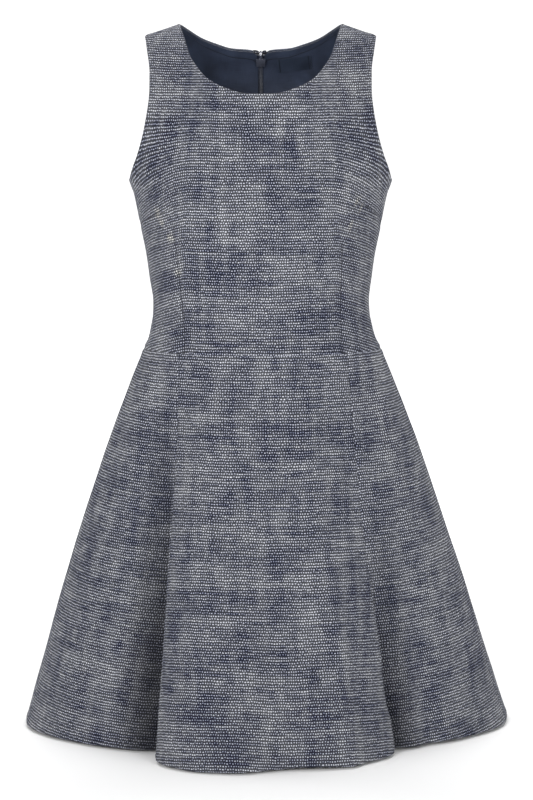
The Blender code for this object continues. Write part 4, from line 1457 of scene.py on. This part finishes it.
class DRESS_OT_neck_corners(bpy.types.Operator):
    """The two small turned-over corners of cloth at the top of the zip"""

    bl_idname = "dress.neck_corners"
    bl_label = "Neck corners"

    def execute(self, context):
        tweed, _ = cloth_finishes()
        for fold in NECK_CORNERS:
            mesh_maker = bmesh.new()
            bmesh.ops.create_cube(mesh_maker, size=1.0)
            bmesh.ops.subdivide_edges(
                mesh_maker, edges=mesh_maker.edges[:], cuts=CORNER_CUTS, use_grid_fill=True)
            weave = mesh_maker.verts.layers.float_vector.new("weave")
            crease = mesh_maker.verts.layers.float.new("crease")
            hollow = mesh_maker.verts.layers.float.new("hollow")
            for corner in mesh_maker.verts:
                flat = corner.co * 2
                ball = flat.normalized() * max(abs(part) for part in flat)
                shaped = flat.lerp(ball, CORNER_ROUNDNESS)
                away = CORNER_FROM_CENTRE + (1 + shaped.x) * fold.width / 2
                sideways = fold.reach * away
                drop = mix(CORNER_TOP_DROP, CORNER_END_DROP, (1 - shaped.z) / 2) * MM
                drop -= CORNER_SPLAY * abs(sideways) * shaped.z
                y = bodice_point(180, drop).y - CORNER_DEPTH + shaped.y * CORNER_HALF_WALL
                corner.co = Vector((sideways, y, TOP_Z - drop))
                up = 9.0 - drop + shaped.y * MM
                corner[weave] = (8.0 + sideways, up, up)
                corner[crease] = NO_LINE_NEAR
                # Painted shade: each corner is painted darker all over, by CORNER_SHADE.
                corner[hollow] = CORNER_SHADE
            face_outwards(mesh_maker)
            piece = add_piece("neck_corner_" + fold.side, mesh_maker, [tweed])
            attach(piece, "dress")
        return {"FINISHED"}


# ---------------------------------------------------------------------------
# Studio
# ---------------------------------------------------------------------------

CAMERA_PLACE = (0.007, -3.95, 0.0071)
CAMERA_TILT = math.radians(6.5)
CAMERA_LENS = 148.9
FLOOR_GAP = 3 * MM
FLOOR_REACH = 15.0
FLOOR_CELLS = 60
COVE_FROM = 5.0               # the floor sweeps up behind and around the dress
COVE_RISE = 0.06
FLOOR_GLOW_FROM = 0.55
FLOOR_GLOW_FULL = 2.2

SoftLight = namedtuple("SoftLight", "name shape place aim width depth")
SOFT_LIGHTS = [
    SoftLight("key", "DISK", (-1.2, -3.3, 0.5), (0, 0, -0.25), 1.1, 1.1),
    SoftLight("fill", "DISK", (1.4, -3.2, 0.1), (0, 0, -0.4), 1.1, 1.1),
    SoftLight("top", "RECTANGLE", (0, 1.05, 1.9), (0, 0, -0.7), 2.6, 0.6),
]


def hang_light(light, power):
    data = bpy.data.lights.new(light.name, "AREA")
    data.shape = light.shape
    data.size = light.width
    data.size_y = light.depth
    data.energy = power
    lamp = bpy.data.objects.new(light.name, data)
    lamp.location = light.place
    way = Vector(light.aim) - Vector(light.place)
    lamp.rotation_euler = way.to_track_quat("-Z", "Y").to_euler()
    bpy.context.scene.collection.objects.link(lamp)


class DRESS_OT_stage(bpy.types.Operator):
    """Pale floor, soft lights and the camera"""

    bl_idname = "dress.stage"
    bl_label = "Studio"

    def execute(self, context):
        settings = context.scene.studio_light
        mesh_maker = bmesh.new()
        bmesh.ops.create_grid(
            mesh_maker, x_segments=FLOOR_CELLS, y_segments=FLOOR_CELLS, size=FLOOR_REACH)
        for corner in mesh_maker.verts:
            away = max(0.0, corner.co.xy.length - COVE_FROM)
            corner.co.z = COVE_RISE * away * away
        low = CAD_BOX[0][2] - FLOOR_GAP
        bmesh.ops.translate(mesh_maker, verts=mesh_maker.verts[:], vec=(0, 0, low))
        paper = floor_finish("floor", settings.floor_glow)
        floor = add_piece("floor", mesh_maker, [paper])

        world = bpy.data.worlds.new("studio")
        world.use_nodes = True
        sky = world.node_tree.nodes["Background"]
        sky.inputs["Color"].default_value = (1.0, 1.0, 1.0, 1.0)
        sky.inputs["Strength"].default_value = settings.sky
        context.scene.world = world
        context.scene.view_settings.view_transform = "Standard"
        for light in SOFT_LIGHTS:
            hang_light(light, getattr(settings, light.name + "_power"))

        data = bpy.data.cameras.new("camera")
        data.lens = CAMERA_LENS
        data.sensor_width = 36.0
        data.clip_end = 100.0
        camera = bpy.data.objects.new("camera", data)
        camera.location = CAMERA_PLACE
        camera.rotation_euler = (math.radians(90) - CAMERA_TILT, 0, 0)
        context.scene.collection.objects.link(camera)
        context.scene.camera = camera
        return {"FINISHED"}


class DRESS_PT_panel(bpy.types.Panel):
    bl_label = "Dress"
    bl_idname = "DRESS_PT_panel"
    bl_space_type = "VIEW_3D"
    bl_region_type = "UI"
    bl_category = "Dress"

    def draw(self, context):
        for group in ("dress_sizes", "dress_shades", "studio_light"):
            box = self.layout.box()
            settings = getattr(context.scene, group)
            for name in settings.bl_rna.properties.keys():
                if name not in ("rna_type", "name"):
                    box.prop(settings, name)
        for operator in OPERATORS:
            self.layout.operator(operator.bl_idname)


GROUPS = {"dress_sizes": DressSizes, "dress_shades": DressShades, "studio_light": StudioLight}
OPERATORS = (
    DRESS_OT_stage, DRESS_OT_bodice_front, DRESS_OT_bodice_back, DRESS_OT_skirt,
    DRESS_OT_lining, DRESS_OT_label, DRESS_OT_zip, DRESS_OT_slider, DRESS_OT_neck_corners,
)
CLASSES = (*GROUPS.values(), *OPERATORS, DRESS_PT_panel)


def register():
    for item in CLASSES:
        bpy.utils.register_class(item)
    for name, group in GROUPS.items():
        setattr(bpy.types.Scene, name, bpy.props.PointerProperty(type=group))


def unregister():
    for name in GROUPS:
        delattr(bpy.types.Scene, name)
    for item in reversed(CLASSES):
        bpy.utils.unregister_class(item)


def main():
    register()
    for operator in OPERATORS:
        group, name = operator.bl_idname.split(".")
        getattr(getattr(bpy.ops, group), name)()


if __name__ == "__main__":
    main()
